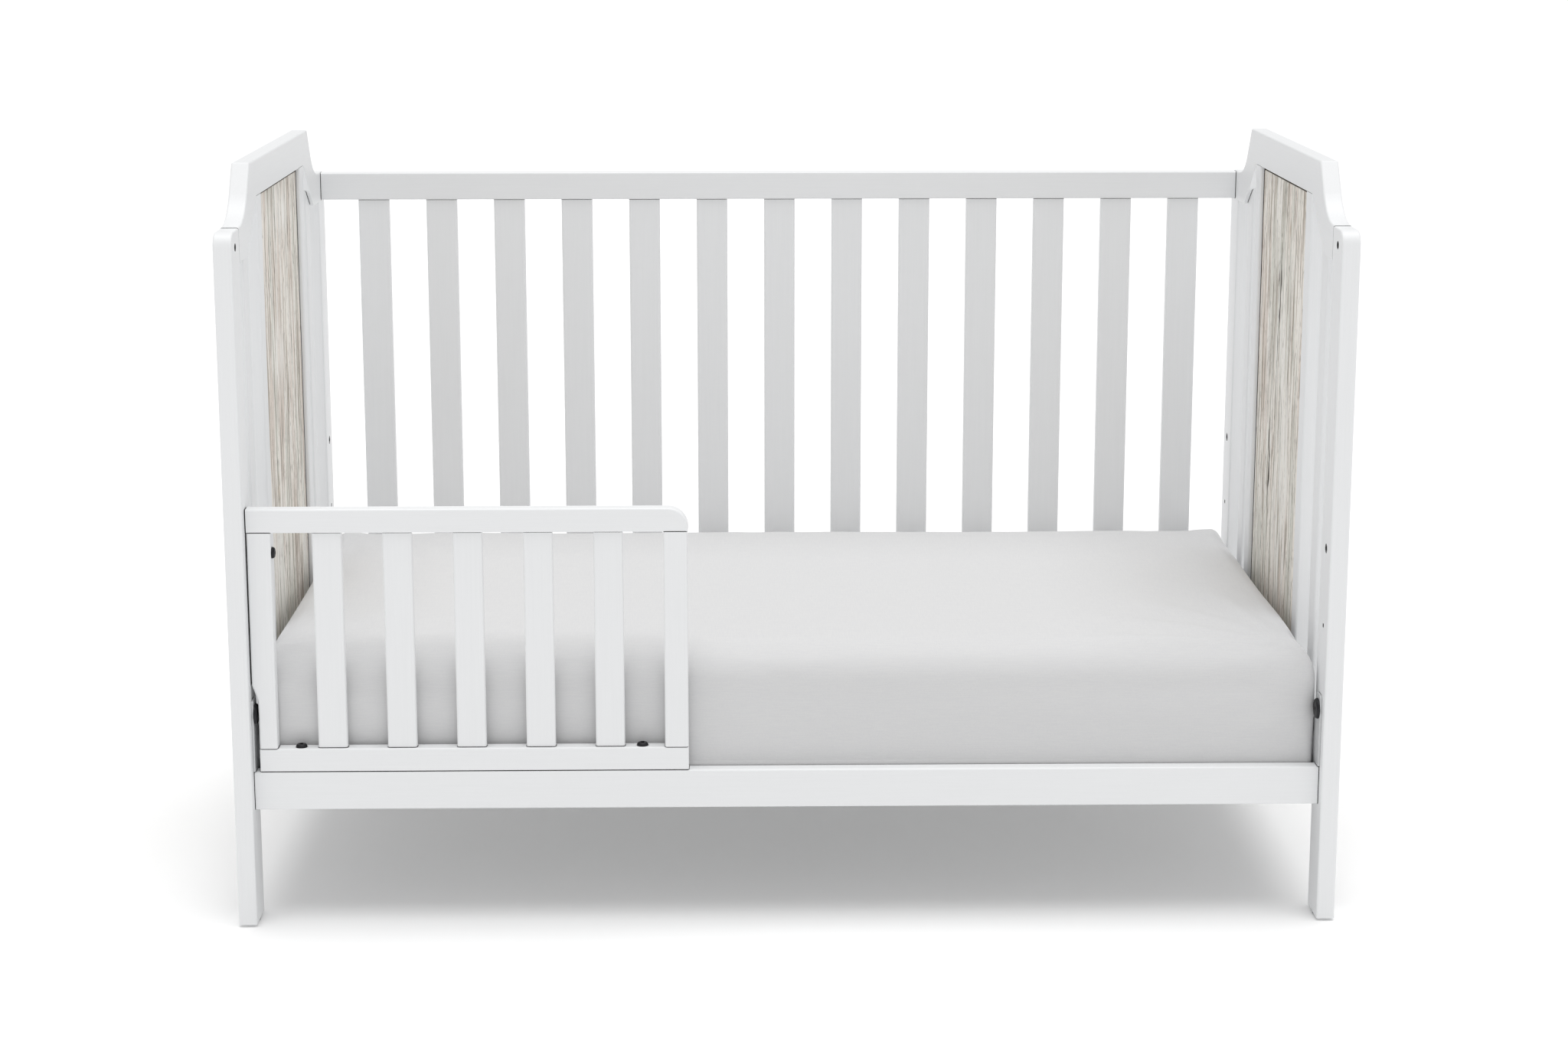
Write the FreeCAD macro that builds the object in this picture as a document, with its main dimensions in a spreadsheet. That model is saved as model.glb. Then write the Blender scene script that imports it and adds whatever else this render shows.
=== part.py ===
import FreeCAD, Part
import Sketcher
import math
import os

# Toddler bed: a cot in its toddler-bed form, with open front, short guard rail, mattress and steel support.
# Frame: X along the bed, Y from front (-) to back (+), Z up; origin on the floor under the middle of the bed.
# Lengths in mm. "In from the front" means measured from the posts' front faces.

SIZES = [
    # overall
    ("bedLength", 1386, "outside face to outside face of the end panels"),
    ("bedWidth", 762, "front face to rear face of the posts"),
    ("bedHeight", 951, "floor to the top of the crest rails"),
    # rounding of the painted wood
    ("edgeRadius", 2.5, "long edges"),
    ("endRadius", 0.8, "edges at a joint"),
    # posts and glides
    ("postThick", 23, "along the bed, also the thickness of the end panels"),
    ("postDepth", 55, "front to back"),
    ("postTop", 880, "top of the posts"),
    ("postCornerRadius", 18, "outer top corner of a post"),
    ("glideHeight", 3, "floor glide under a post"),
    ("glideDiameter", 21, "floor glide"),
    ("glideRadius", 0.8, "lower edge of a floor glide"),
    # rails between the end panels
    ("railThick", 19, "front to back, also the guard rail's thickness"),
    ("railInset", 16, "from the posts' outer face to a rail's outer face"),
    ("lowRailBottom", 150, "underside of every bottom rail"),
    ("lowRailHeight", 49.5, "height of every bottom rail"),
    ("backTopRailTop", 879, "top of the back panel"),
    ("backTopRailHeight", 39.5, "height of the back panel's top rail"),
    ("backSlatWidth", 45, "slat of the back panel"),
    ("backSlatCount", 13, "slats in the back panel"),
    ("slatThick", 12, "every slat"),
    ("slatRadius", 3, "long edges of every slat"),
    # end panels
    ("outerSlot", 50, "open gap between a post and the end slat"),
    ("endSlatWidth", 37, "end slat"),
    ("innerSlot", 48, "open gap between the end slat and the stile"),
    ("stileWidth", 32, "stile beside the wood panel"),
    ("panelThick", 12, "wood infill panel"),
    ("grooveDepth", 6, "how far the wood panel sits in its frame"),
    ("cutOverrun", 5, "how far a groove's cut starts outside the wood"),
    ("crestDepth", 46, "crest rail, top to underside, in the middle"),
    ("tailBottom", 838, "underside of the crest rail beside a post"),
    ("tailRise", 1, "crest rail above the post top where they meet"),
    ("shoulderIn", 90, "from the post's inner side to the crest's top corner"),
    ("bendIn", 41, "from the post's inner side to the bend of the shoulder"),
    ("shoulderRadius", 76, "hollow of the shoulder"),
    ("archCornerRadius", 15, "corner where the underside turns level"),
    ("archReach", 6, "level underside, past the stile's outer side"),
    ("tailReach", 4, "underside of the tail, short of the end slat"),
    ("archKneeRise", 27, "underside at the slat's inner edge, above the tail"),
    ("tailRadius", 8, "rounding under the tail"),
    # guard rail
    ("guardLength", 544.5, "left end to right end"),
    ("guardGap", 1.5, "between the guard rail and the post"),
    ("guardTop", 536.5, "top of the guard rail"),
    ("guardRailHeight", 30, "top and bottom rail of the guard"),
    ("guardStileWidth", 29.5, "end stiles of the guard"),
    ("guardSlatWidth", 36.5, "slat of the guard"),
    ("guardSlatCount", 5, "slats in the guard"),
    ("guardCornerRadius", 25, "free top corner of the guard"),
    ("guardOverhang", 1, "top rail past the right stile"),
    ("notchWidth", 7, "notch of the left stile, past the mattress hanger"),
    ("notchBottom", 292, "lower end of the notch's slope"),
    ("notchTop", 312, "upper end of the notch's slope"),
    ("notchRadius", 8, "rounding of the notch's slope"),
    # mattress and sheet
    ("supportTop", 193, "surface that the mattress lies on"),
    ("mattressHeight", 154, "mattress alone"),
    ("sheetThick", 1, "fitted sheet"),
    ("mattressEndClear", 4, "sheet to the end panels"),
    ("mattressSideClear", 2, "sheet to the rails"),
    ("mattressCornerRadius", 24, "upright corners, over the sheet"),
    ("mattressTopRadius", 22, "top edges, over the sheet"),
    ("mattressUnderRadius", 8, "bottom edges, over the sheet"),
    ("hemWidth", 90, "sheet turned under the mattress"),
    # steel support
    ("angleLeg", 25, "leg of the angle bars"),
    ("angleThick", 2.5, "angle bars and hangers"),
    ("angleClear", 3, "angle bars to the rails"),
    ("wireDiameter", 3.5, "support wires"),
    ("longWireCount", 6, "wires along the bed"),
    ("crossWireCount", 11, "wires across the bed"),
    ("springLength", 22, "tension spring between wire and frame"),
    ("springDiameter", 8, "tension spring"),
    ("hangerTop", 292, "top of the hangers"),
    ("hangerEnd", 14, "from the posts' outer face to the hanger"),
    ("hangerNeck", 36, "width of the hanger's upper part, in from the posts' outer face"),
    ("hangerClear", 1, "hangers to the bottom rails"),
    ("hangerShoulder", 20, "height of the hanger's wide foot above the bottom rails"),
    ("hangerRadius", 5, "corners of the hangers"),
    ("hangerFoot", 60, "width of the hanger's foot, in from the posts' outer face"),
    # holes and fasteners
    ("panelHole", 10, "clearance hole for a panel bolt"),
    ("counterbore", 18, "recess for a panel bolt's head"),
    ("counterboreDepth", 4, "recess for a panel bolt's head"),
    ("sideHoleLow", 217, "free hole for the cot's front side, lower"),
    ("sideHoleHigh", 860, "free hole for the cot's front side, upper"),
    ("insertHigh", 480, "insert for the highest mattress position"),
    ("pilotMiddle", 381, "pilot hole for the middle mattress position"),
    ("insertLow", 273, "insert for the lowest mattress position"),
    ("insertDiameter", 12, "threaded insert, outside"),
    ("insertLength", 14, "threaded insert"),
    ("insertSpare", 1, "insert past the end of its bolt"),
    ("threadHole", 6, "thread of inserts and pilot holes"),
    ("shankDiameter", 5.8, "shank of the guard and hanger bolts"),
    ("panelShank", 8, "shank of the panel bolts"),
    ("panelHead", 16, "head of the panel bolts"),
    ("panelHeadHeight", 3.5, "head of the panel bolts"),
    ("panelHeadRadius", 1.5, "rim of the panel bolts' heads"),
    ("nutDiameter", 12, "barrel nut"),
    ("nutLength", 12, "barrel nut"),
    ("nutSlack", 0.5, "bore past the end of the barrel nut"),
    ("nutIn", 34, "from the rail's end to the barrel nut"),
    ("panelBoltReach", 44, "how far a panel bolt runs into the rail"),
    ("boreOverrun", 2, "bore past the end of a bolt"),
    ("guardHead", 14, "head of the guard bolts"),
    ("guardHeadHeight", 4, "head of the guard bolts"),
    ("guardHeadRadius", 3, "dome of the guard bolts' heads"),
    ("guardHole", 7, "clearance hole for a guard bolt"),
    ("guardBoltIn", 24, "guard bolt's thread in the lower rail"),
    ("guardBoltLeft", 58, "from the guard's left end to the first bolt"),
    ("guardBoltRight", 59, "from the guard's right end to the second bolt"),
    ("knobDiameter", 26, "head of the hanger bolts"),
    ("knobHeight", 4, "head of the hanger bolts"),
    ("knobRadius", 3, "dome of the hanger bolts' heads"),
    ("socketWidth", 5, "hexagon socket, across the flats"),
    ("socketDepth", 2.2, "hexagon socket"),
]

doc = FreeCAD.newDocument("ToddlerBed")
sheet = doc.addObject("Spreadsheet::Sheet", "Sizes")
for row, (alias, value, meaning) in enumerate(SIZES, start=1):
    sheet.set(f"A{row}", alias)
    sheet.set(f"B{row}", str(value))
    sheet.set(f"C{row}", meaning)
    sheet.setAlias(f"B{row}", alias)
doc.recompute()

# lines and places that several pieces share, as expressions on the sheet
HALF_LENGTH = "Sizes.bedLength / 2"
HALF_WIDTH = "Sizes.bedWidth / 2"
INNER_X = "(Sizes.bedLength / 2 - Sizes.postThick)"
INNER_LENGTH = "(Sizes.bedLength - 2 * Sizes.postThick)"
LOW_RAIL_TOP = "(Sizes.lowRailBottom + Sizes.lowRailHeight)"
BOLT_LINE = "(Sizes.railInset + Sizes.railThick / 2)"
CREST_UNDER = "(Sizes.bedHeight - Sizes.crestDepth)"
SLAT_IN = "(Sizes.postDepth + Sizes.outerSlot)"
SLAT_END = "(Sizes.postDepth + Sizes.outerSlot + Sizes.endSlatWidth)"
STILE_IN = "(Sizes.postDepth + Sizes.outerSlot + Sizes.endSlatWidth + Sizes.innerSlot)"
PANEL_IN = f"({STILE_IN} + Sizes.stileWidth)"
BACK_TOP_BOLT = "Sizes.backTopRailTop - Sizes.backTopRailHeight / 2"
LOW_BOLT = "Sizes.lowRailBottom + Sizes.lowRailHeight / 2"
GUARD_LEFT = f"(Sizes.guardGap - {INNER_X})"
GUARD_BOLTS = (f"{GUARD_LEFT} + Sizes.guardBoltLeft",
               f"{GUARD_LEFT} + Sizes.guardLength - Sizes.guardBoltRight")
RAIL_BACK = "(Sizes.railInset + Sizes.railThick)"
ANGLE_IN = f"({RAIL_BACK} + Sizes.angleClear)"
SUPPORT_HALF = f"({INNER_X} - Sizes.angleThick)"
SIDES = {"left": -1, "right": 1}
EDGES = {"front": -1, "rear": 1}

NEAR = 0.01  # mm within which two places count as the same
CREASE = 20  # degrees between two faces from which their edge counts as sharp
PARALLEL = 0.999  # cosine from which two directions count as parallel
AXES = {"x": (1, 0, 0), "y": (0, 1, 0), "z": (0, 0, 1)}
TURNS = {"x": FreeCAD.Rotation(FreeCAD.Vector(0, 1, 0), 90),
         "y": FreeCAD.Rotation(FreeCAD.Vector(1, 0, 0), -90),
         "z": FreeCAD.Rotation(),
         "-x": FreeCAD.Rotation(FreeCAD.Vector(0, 1, 0), -90)}

parts = []


def size(alias):
    return float(sheet.get(alias))


def bind(target, **expressions):
    """Ties properties of an object to the sheet; x, y and z stand for its Placement."""
    for name, expression in expressions.items():
        path = f"Placement.Base.{name}" if name in ("x", "y", "z") else name
        target.setExpression(path, str(expression))


def keep(target, label):
    """Names a finished sub-part, which is what gets written out."""
    target.Label = label
    parts.append(target)


def planeOf(body, role):
    return next(feature for feature in body.Origin.OriginFeatures if feature.Role == role)


def newBody(label):
    body = doc.addObject("PartDesign::Body", label)
    body.Label = label
    return body


def newSketch(body, role):
    sketch = body.newObject("Sketcher::SketchObject", "Sketch")
    sketch.AttachmentSupport = (planeOf(body, role), [""])
    sketch.MapMode = "FlatFace"
    return sketch


def outline(body, role, corners):
    """A closed outline of straight lines; each corner is a pair of expressions."""
    sketch = newSketch(body, role)
    flat = FreeCAD.Vector
    rough = [flat(*(evaluate(part) for part in corner), 0) for corner in corners]
    count = len(corners)
    for index in range(count):
        sketch.addGeometry(Part.LineSegment(rough[index], rough[(index + 1) % count]), False)
    for index in range(count):
        sketch.addConstraint(Sketcher.Constraint("Coincident", index, 2, (index + 1) % count, 1))
    for index, corner in enumerate(corners):
        for axis, kind in enumerate(("DistanceX", "DistanceY")):
            number = sketch.addConstraint(
                Sketcher.Constraint(kind, -1, 1, index, 1, rough[index][axis]))
            sketch.setExpression(f"Constraints[{number}]", corner[axis])
    return sketch


def evaluate(expression):
    return float(sheet.evalExpression(expression.replace("Sizes.", "")))


def circle(body, diameter):
    """A level circle about the body's origin."""
    sketch = newSketch(body, "XY_Plane")
    sketch.addGeometry(Part.Circle(FreeCAD.Vector(), FreeCAD.Vector(0, 0, 1), evaluate(diameter) / 2), False)
    sketch.addConstraint(Sketcher.Constraint("Coincident", 0, 3, -1, 1))
    number = sketch.addConstraint(Sketcher.Constraint("Diameter", 0, evaluate(diameter)))
    sketch.setExpression(f"Constraints[{number}]", diameter)
    return sketch


def pad(body, sketch, length, reverse=False):
    feature = body.newObject("PartDesign::Pad", "Pad")
    feature.Profile = sketch
    feature.Reversed = reverse
    feature.setExpression("Length", length)
    doc.recompute()


def pocket(body, sketch, length, midplane=False):
    feature = body.newObject("PartDesign::Pocket", "Pocket")
    feature.Profile = sketch
    feature.Midplane = midplane
    feature.setExpression("Length", length)
    before = body.Shape.Volume
    doc.recompute()
    if body.Shape.Volume >= before:
        raise RuntimeError(f"{body.Label}: the pocket removes nothing")


def rounded(body, radius, choose):
    """Rounds the edges of the body's last feature that the test picks."""
    base = body.Tip
    names = [f"Edge{index}" for index, edge in enumerate(base.Shape.Edges, start=1) if choose(edge)]
    if not names:
        raise RuntimeError(f"{body.Label}: no edge to round")
    fillet = body.newObject("PartDesign::Fillet", "Fillet")
    fillet.Base = (base, names)
    fillet.setExpression("Radius", radius)
    doc.recompute()


def along(direction):
    """Straight edges parallel to a direction."""
    axis = FreeCAD.Vector(*direction)

    def test(edge):
        if not isinstance(edge.Curve, Part.Line):
            return False
        return abs(edge.tangentAt(edge.FirstParameter).dot(axis)) > PARALLEL
    return test


def sharp(body, skip=None):
    """Edges where two faces of the body's last feature meet at a clear angle."""
    shape = body.Tip.Shape

    def test(edge):
        if skip and skip(edge):
            return False
        middle = edge.valueAt((edge.FirstParameter + edge.LastParameter) / 2)
        normals = []
        for face in shape.ancestorsOfType(edge, Part.Face):
            u, v = face.Surface.parameter(middle)
            normals.append(face.normalAt(u, v))
        return len(normals) == 2 and normals[0].getAngle(normals[1]) > math.radians(CREASE)
    return test


BAR_PLANES = {"x": ("YZ_Plane", False), "y": ("XZ_Plane", True), "z": ("XY_Plane", False)}


def bar(label, axis, section, length, radius="Sizes.edgeRadius", **place):
    """A straight timber: its long edges are eased, and its ends have a fine edge that shows the joint."""
    role, reverse = BAR_PLANES[axis]
    body = newBody(label)
    wide, high = section
    sketch = outline(body, role, [("0", "0"), (wide, "0"), (wide, high), ("0", high)])
    pad(body, sketch, length, reverse)
    rounded(body, radius, along(AXES[axis]))
    rounded(body, "Sizes.endRadius", sharp(body))
    bind(body, **place)
    return body


def rod(label, axis, diameter, length, place):
    """A round bar from its low end along one axis."""
    cylinder = doc.addObject("Part::Cylinder", label)
    cylinder.Placement.Rotation = TURNS[axis]
    bind(cylinder, Radius=f"{diameter} / 2", Height=length, **dict(zip("xyz", place)))
    return cylinder


def drill(label, blank, bores):
    """Cuts round bores into a blank; each bore is (axis, diameter, length, place of its low end)."""
    group = doc.addObject("Part::Compound", f"{label}_bores")
    group.Links = [rod(f"{label}_bore", *bore) for bore in bores]
    cut = doc.addObject("Part::Cut", label)
    blank.Label = f"{label}_blank"
    cut.Base = blank
    cut.Tool = group
    doc.recompute()
    if cut.Shape.Volume >= blank.Shape.Volume:
        raise RuntimeError(f"{label}: the bores remove nothing")
    return cut


def endX(side, thick="Sizes.postThick", inset="0"):
    """Low X of a piece of an end panel, set in from the panel's outer face."""
    if side == "left":
        return f"{inset} - {HALF_LENGTH}"
    return f"{HALF_LENGTH} - {inset} - {thick}"


def edgeY(edge, start, wide="0"):
    """Low Y of a piece that starts some way in from the front or the rear of the bed."""
    if edge == "front":
        return f"{start} - {HALF_WIDTH}"
    return f"{HALF_WIDTH} - ({start}) - ({wide})"


def grooved(body, corners):
    """Cuts the wood panel's seat into a piece of an end panel, in the middle of its thickness."""
    sketch = outline(body, "YZ_Plane", corners)
    sketch.setExpression(".AttachmentOffset.Base.z", "Sizes.postThick / 2")
    pocket(body, sketch, "Sizes.panelThick", midplane=True)


def grouped(label, members):
    """Several separate bodies kept as one sub-part."""
    group = doc.addObject("Part::Compound", label)
    group.Links = members
    doc.recompute()
    keep(group, label)


# end panels
def post(side, edge):
    """Upright of an end panel, with panel-bolt holes and the seats of the mattress support's inserts."""
    label = f"{side}_{edge}_post"
    body = newBody(label)
    corners = [("0", "0"), ("Sizes.postDepth", "0"),
               ("Sizes.postDepth", "Sizes.postTop - Sizes.glideHeight"),
               ("0", "Sizes.postTop - Sizes.glideHeight")]
    pad(body, outline(body, "YZ_Plane", corners), "Sizes.postThick")
    outerY = 0 if edge == "front" else size("postDepth")
    topZ = size("postTop") - size("glideHeight")

    def outerTop(pickedEdge):
        centre = pickedEdge.CenterOfMass
        return abs(centre.y - outerY) < NEAR and abs(centre.z - topZ) < NEAR
    rounded(body, "Sizes.postCornerRadius", outerTop)
    rounded(body, "Sizes.edgeRadius", sharp(body, skip=lambda picked: picked.CenterOfMass.z < NEAR))
    rounded(body, "Sizes.endRadius", sharp(body))
    bind(body, x=endX(side), y=edgeY(edge, "0", "Sizes.postDepth"), z="Sizes.glideHeight")

    line = edgeY(edge, BOLT_LINE)
    through = ["Sizes.lowRailBottom + Sizes.lowRailHeight / 2"]
    through += ["Sizes.sideHoleLow", "Sizes.sideHoleHigh"] if edge == "front" else [BACK_TOP_BOLT]
    recess = endX(side, "Sizes.counterboreDepth")
    if side == "left":
        innerStart = f"-{INNER_X} - Sizes.insertLength"
    else:
        innerStart = INNER_X
    bores = [("x", "Sizes.panelHole", "Sizes.postThick", (endX(side), line, height)) for height in through]
    bores += [("x", "Sizes.counterbore", "Sizes.counterboreDepth", (recess, line, height))
              for height in through]
    bores += [("x", "Sizes.insertDiameter", "Sizes.insertLength", (innerStart, line, height))
              for height in ("Sizes.insertLow", "Sizes.insertHigh")]
    bores.append(("x", "Sizes.threadHole", "Sizes.insertLength", (innerStart, line, "Sizes.pilotMiddle")))
    keep(drill(label, body, bores), label)


def crestRail(side):
    """Shaped top of an end panel: level in the middle, stepping down in hollow shoulders to the posts."""
    label = f"{side}_crest_rail"
    body = newBody(label)
    tail = "Sizes.postDepth"
    kneeUp = "Sizes.tailBottom + Sizes.archKneeRise"
    half = [(tail, "Sizes.tailBottom"),
            (tail, "Sizes.postTop + Sizes.tailRise"),
            ("Sizes.postDepth + Sizes.bendIn", "Sizes.postTop + Sizes.tailRise"),
            ("Sizes.postDepth + Sizes.shoulderIn", "Sizes.bedHeight")]
    under = [(f"({STILE_IN} - Sizes.archReach)", CREST_UNDER),
             (SLAT_END, kneeUp),
             (f"{SLAT_IN} - Sizes.tailReach", "Sizes.tailBottom")]

    def front(corner):
        return (f"{corner[0]} - {HALF_WIDTH}", corner[1])

    def rear(corner):
        return (f"{HALF_WIDTH} - ({corner[0]})", corner[1])
    corners = [front(corner) for corner in half]
    corners += [rear(corner) for corner in reversed(half)]
    corners += [rear(corner) for corner in reversed(under)]
    corners += [front(corner) for corner in under]
    pad(body, outline(body, "YZ_Plane", corners), "Sizes.postThick")

    def atCorner(corner):
        across = abs(evaluate(front(corner)[0]))
        up = evaluate(corner[1])

        def test(edge):
            centre = edge.CenterOfMass
            return abs(abs(centre.y) - across) < NEAR and abs(centre.z - up) < NEAR and along(AXES["x"])(edge)
        return test
    rounded(body, "Sizes.shoulderRadius", atCorner(half[2]))
    rounded(body, "Sizes.archCornerRadius", atCorner(under[0]))
    rounded(body, "Sizes.tailRadius", atCorner(under[2]))
    tailY = evaluate(f"{HALF_WIDTH} - {tail}")

    def atPost(edge):
        return abs(abs(edge.CenterOfMass.y) - tailY) < NEAR
    rounded(body, "Sizes.edgeRadius", sharp(body, skip=lambda edge: atPost(edge) or
                                            edge.CenterOfMass.z < evaluate(CREST_UNDER) + NEAR))
    rounded(body, "Sizes.endRadius", sharp(body))
    near = f"{PANEL_IN} - Sizes.grooveDepth - {HALF_WIDTH}"
    far = f"{HALF_WIDTH} - {PANEL_IN} + Sizes.grooveDepth"
    low, high = f"{CREST_UNDER} - Sizes.cutOverrun", f"{CREST_UNDER} + Sizes.grooveDepth"
    grooved(body, [(near, low), (far, low), (far, high), (near, high)])
    bind(body, x=endX(side))
    keep(body, label)


def bottomRail(side):
    """Bottom of an end panel, between the posts, grooved for the wood panel."""
    label = f"{side}_bottom_rail"
    length = "Sizes.bedWidth - 2 * Sizes.postDepth"
    body = bar(label, "y", ("Sizes.postThick", "Sizes.lowRailHeight"), length,
               x=endX(side), y=edgeY("front", "Sizes.postDepth"), z="Sizes.lowRailBottom")
    near = f"{PANEL_IN} - Sizes.grooveDepth - Sizes.postDepth"
    far = f"{length} - ({near})"
    low, high = "Sizes.lowRailHeight - Sizes.grooveDepth", "Sizes.lowRailHeight + Sizes.cutOverrun"
    grooved(body, [(near, low), (far, low), (far, high), (near, high)])
    keep(body, label)


def stile(side, edge):
    """Upright beside the wood panel, grooved along the side that holds it."""
    label = f"{side}_{edge}_stile"
    length = f"{CREST_UNDER} - {LOW_RAIL_TOP}"
    body = bar(label, "z", ("Sizes.postThick", "Sizes.stileWidth"), length,
               x=endX(side), y=edgeY(edge, STILE_IN, "Sizes.stileWidth"), z=LOW_RAIL_TOP)
    if edge == "front":
        near, far = "Sizes.stileWidth - Sizes.grooveDepth", "Sizes.stileWidth + Sizes.cutOverrun"
    else:
        near, far = "-Sizes.cutOverrun", "Sizes.grooveDepth"
    low, high = "-Sizes.cutOverrun", f"{length} + Sizes.cutOverrun"
    grooved(body, [(near, low), (far, low), (far, high), (near, high)])
    keep(body, label)


def woodPanel(side):
    """Rustic wood infill, held in the grooves of the stiles, the crest rail and the bottom rail."""
    label = f"{side}_wood_panel"
    body = newBody(label)
    wide = f"Sizes.bedWidth - 2 * {PANEL_IN} + 2 * Sizes.grooveDepth"
    high = f"{CREST_UNDER} - {LOW_RAIL_TOP} + 2 * Sizes.grooveDepth"
    sketch = outline(body, "YZ_Plane", [("0", "0"), (wide, "0"), (wide, high), ("0", high)])
    pad(body, sketch, "Sizes.panelThick")
    bind(body, x=endX(side, "Sizes.panelThick", "(Sizes.postThick - Sizes.panelThick) / 2"),
         y=edgeY("front", f"{PANEL_IN} - Sizes.grooveDepth"), z=f"{LOW_RAIL_TOP} - Sizes.grooveDepth")
    keep(body, label)


def endSlat(side, edge):
    """Narrow open slat of an end panel; its top follows the slope under the crest rail."""
    label = f"{side}_{edge}_slat"
    body = newBody(label)
    slope = "Sizes.archKneeRise / (Sizes.endSlatWidth + Sizes.tailReach)"
    outerTop = f"Sizes.tailBottom + Sizes.tailReach * {slope} - {LOW_RAIL_TOP}"
    innerTop = f"Sizes.tailBottom + Sizes.archKneeRise - {LOW_RAIL_TOP}"
    tops = (outerTop, innerTop) if edge == "front" else (innerTop, outerTop)
    corners = [("0", "0"), ("Sizes.endSlatWidth", "0"), ("Sizes.endSlatWidth", tops[1]), ("0", tops[0])]
    pad(body, outline(body, "YZ_Plane", corners), "Sizes.slatThick")
    rounded(body, "Sizes.slatRadius", along(AXES["z"]))
    bind(body, x=endX(side, "Sizes.slatThick", "(Sizes.postThick - Sizes.slatThick) / 2"),
         y=edgeY(edge, SLAT_IN, "Sizes.endSlatWidth"), z=LOW_RAIL_TOP)
    keep(body, label)


# rails between the ends
def railBores(height, edge):
    """Bolt bores in both ends of a rail, and the cross bores of its barrel nuts, open to the rear."""
    line = edgeY(edge, BOLT_LINE)
    depth = "(Sizes.railThick / 2 + Sizes.nutLength / 2 + Sizes.nutSlack)"
    low = f"{line} - Sizes.nutLength / 2 - Sizes.nutSlack"
    boltBore = "(Sizes.panelBoltReach + Sizes.boreOverrun)"
    bores = []
    for start, nutX in ((f"-{INNER_X}", f"Sizes.nutIn - {INNER_X}"),
                        (f"{INNER_X} - {boltBore}", f"{INNER_X} - Sizes.nutIn")):
        bores.append(("x", "Sizes.panelHole", boltBore, (start, line, height)))
        bores.append(("y", "Sizes.nutDiameter", depth, (nutX, low, height)))
    return bores


def longRail(label, edge, bottom, height, boltHeight, extra=()):
    body = bar(label, "x", ("Sizes.railThick", height), INNER_LENGTH,
               x=f"-{INNER_X}", y=edgeY(edge, "Sizes.railInset", "Sizes.railThick"), z=bottom)
    keep(drill(label, body, railBores(boltHeight, edge) + list(extra)), label)


def rails():
    longRail("back_top_rail", "rear", "Sizes.backTopRailTop - Sizes.backTopRailHeight",
             "Sizes.backTopRailHeight", BACK_TOP_BOLT)
    longRail("back_bottom_rail", "rear", "Sizes.lowRailBottom", "Sizes.lowRailHeight", LOW_BOLT)
    line = edgeY("front", BOLT_LINE)
    depth = "(Sizes.guardBoltIn + Sizes.boreOverrun)"
    threads = [("z", "Sizes.threadHole", depth, (across, line, f"{LOW_RAIL_TOP} - {depth}"))
               for across in GUARD_BOLTS]
    longRail("front_lower_rail", "front", "Sizes.lowRailBottom", "Sizes.lowRailHeight", LOW_BOLT, threads)


def backSlats():
    """Evenly spaced slats, centred in the thickness of the back rails."""
    gap = f"({INNER_LENGTH} - Sizes.backSlatCount * Sizes.backSlatWidth) / (Sizes.backSlatCount + 1)"
    length = f"Sizes.backTopRailTop - Sizes.backTopRailHeight - {LOW_RAIL_TOP}"
    for number in range(int(size("backSlatCount"))):
        label = f"back_slat_{number + 1:02d}"
        start = f"{gap} * {number + 1} + Sizes.backSlatWidth * {number} - {INNER_X}"
        body = bar(label, "z", ("Sizes.backSlatWidth", "Sizes.slatThick"), length, "Sizes.slatRadius",
                   x=start, y=edgeY("rear", f"{BOLT_LINE} - Sizes.slatThick / 2", "Sizes.slatThick"),
                   z=LOW_RAIL_TOP)
        keep(body, label)


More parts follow.
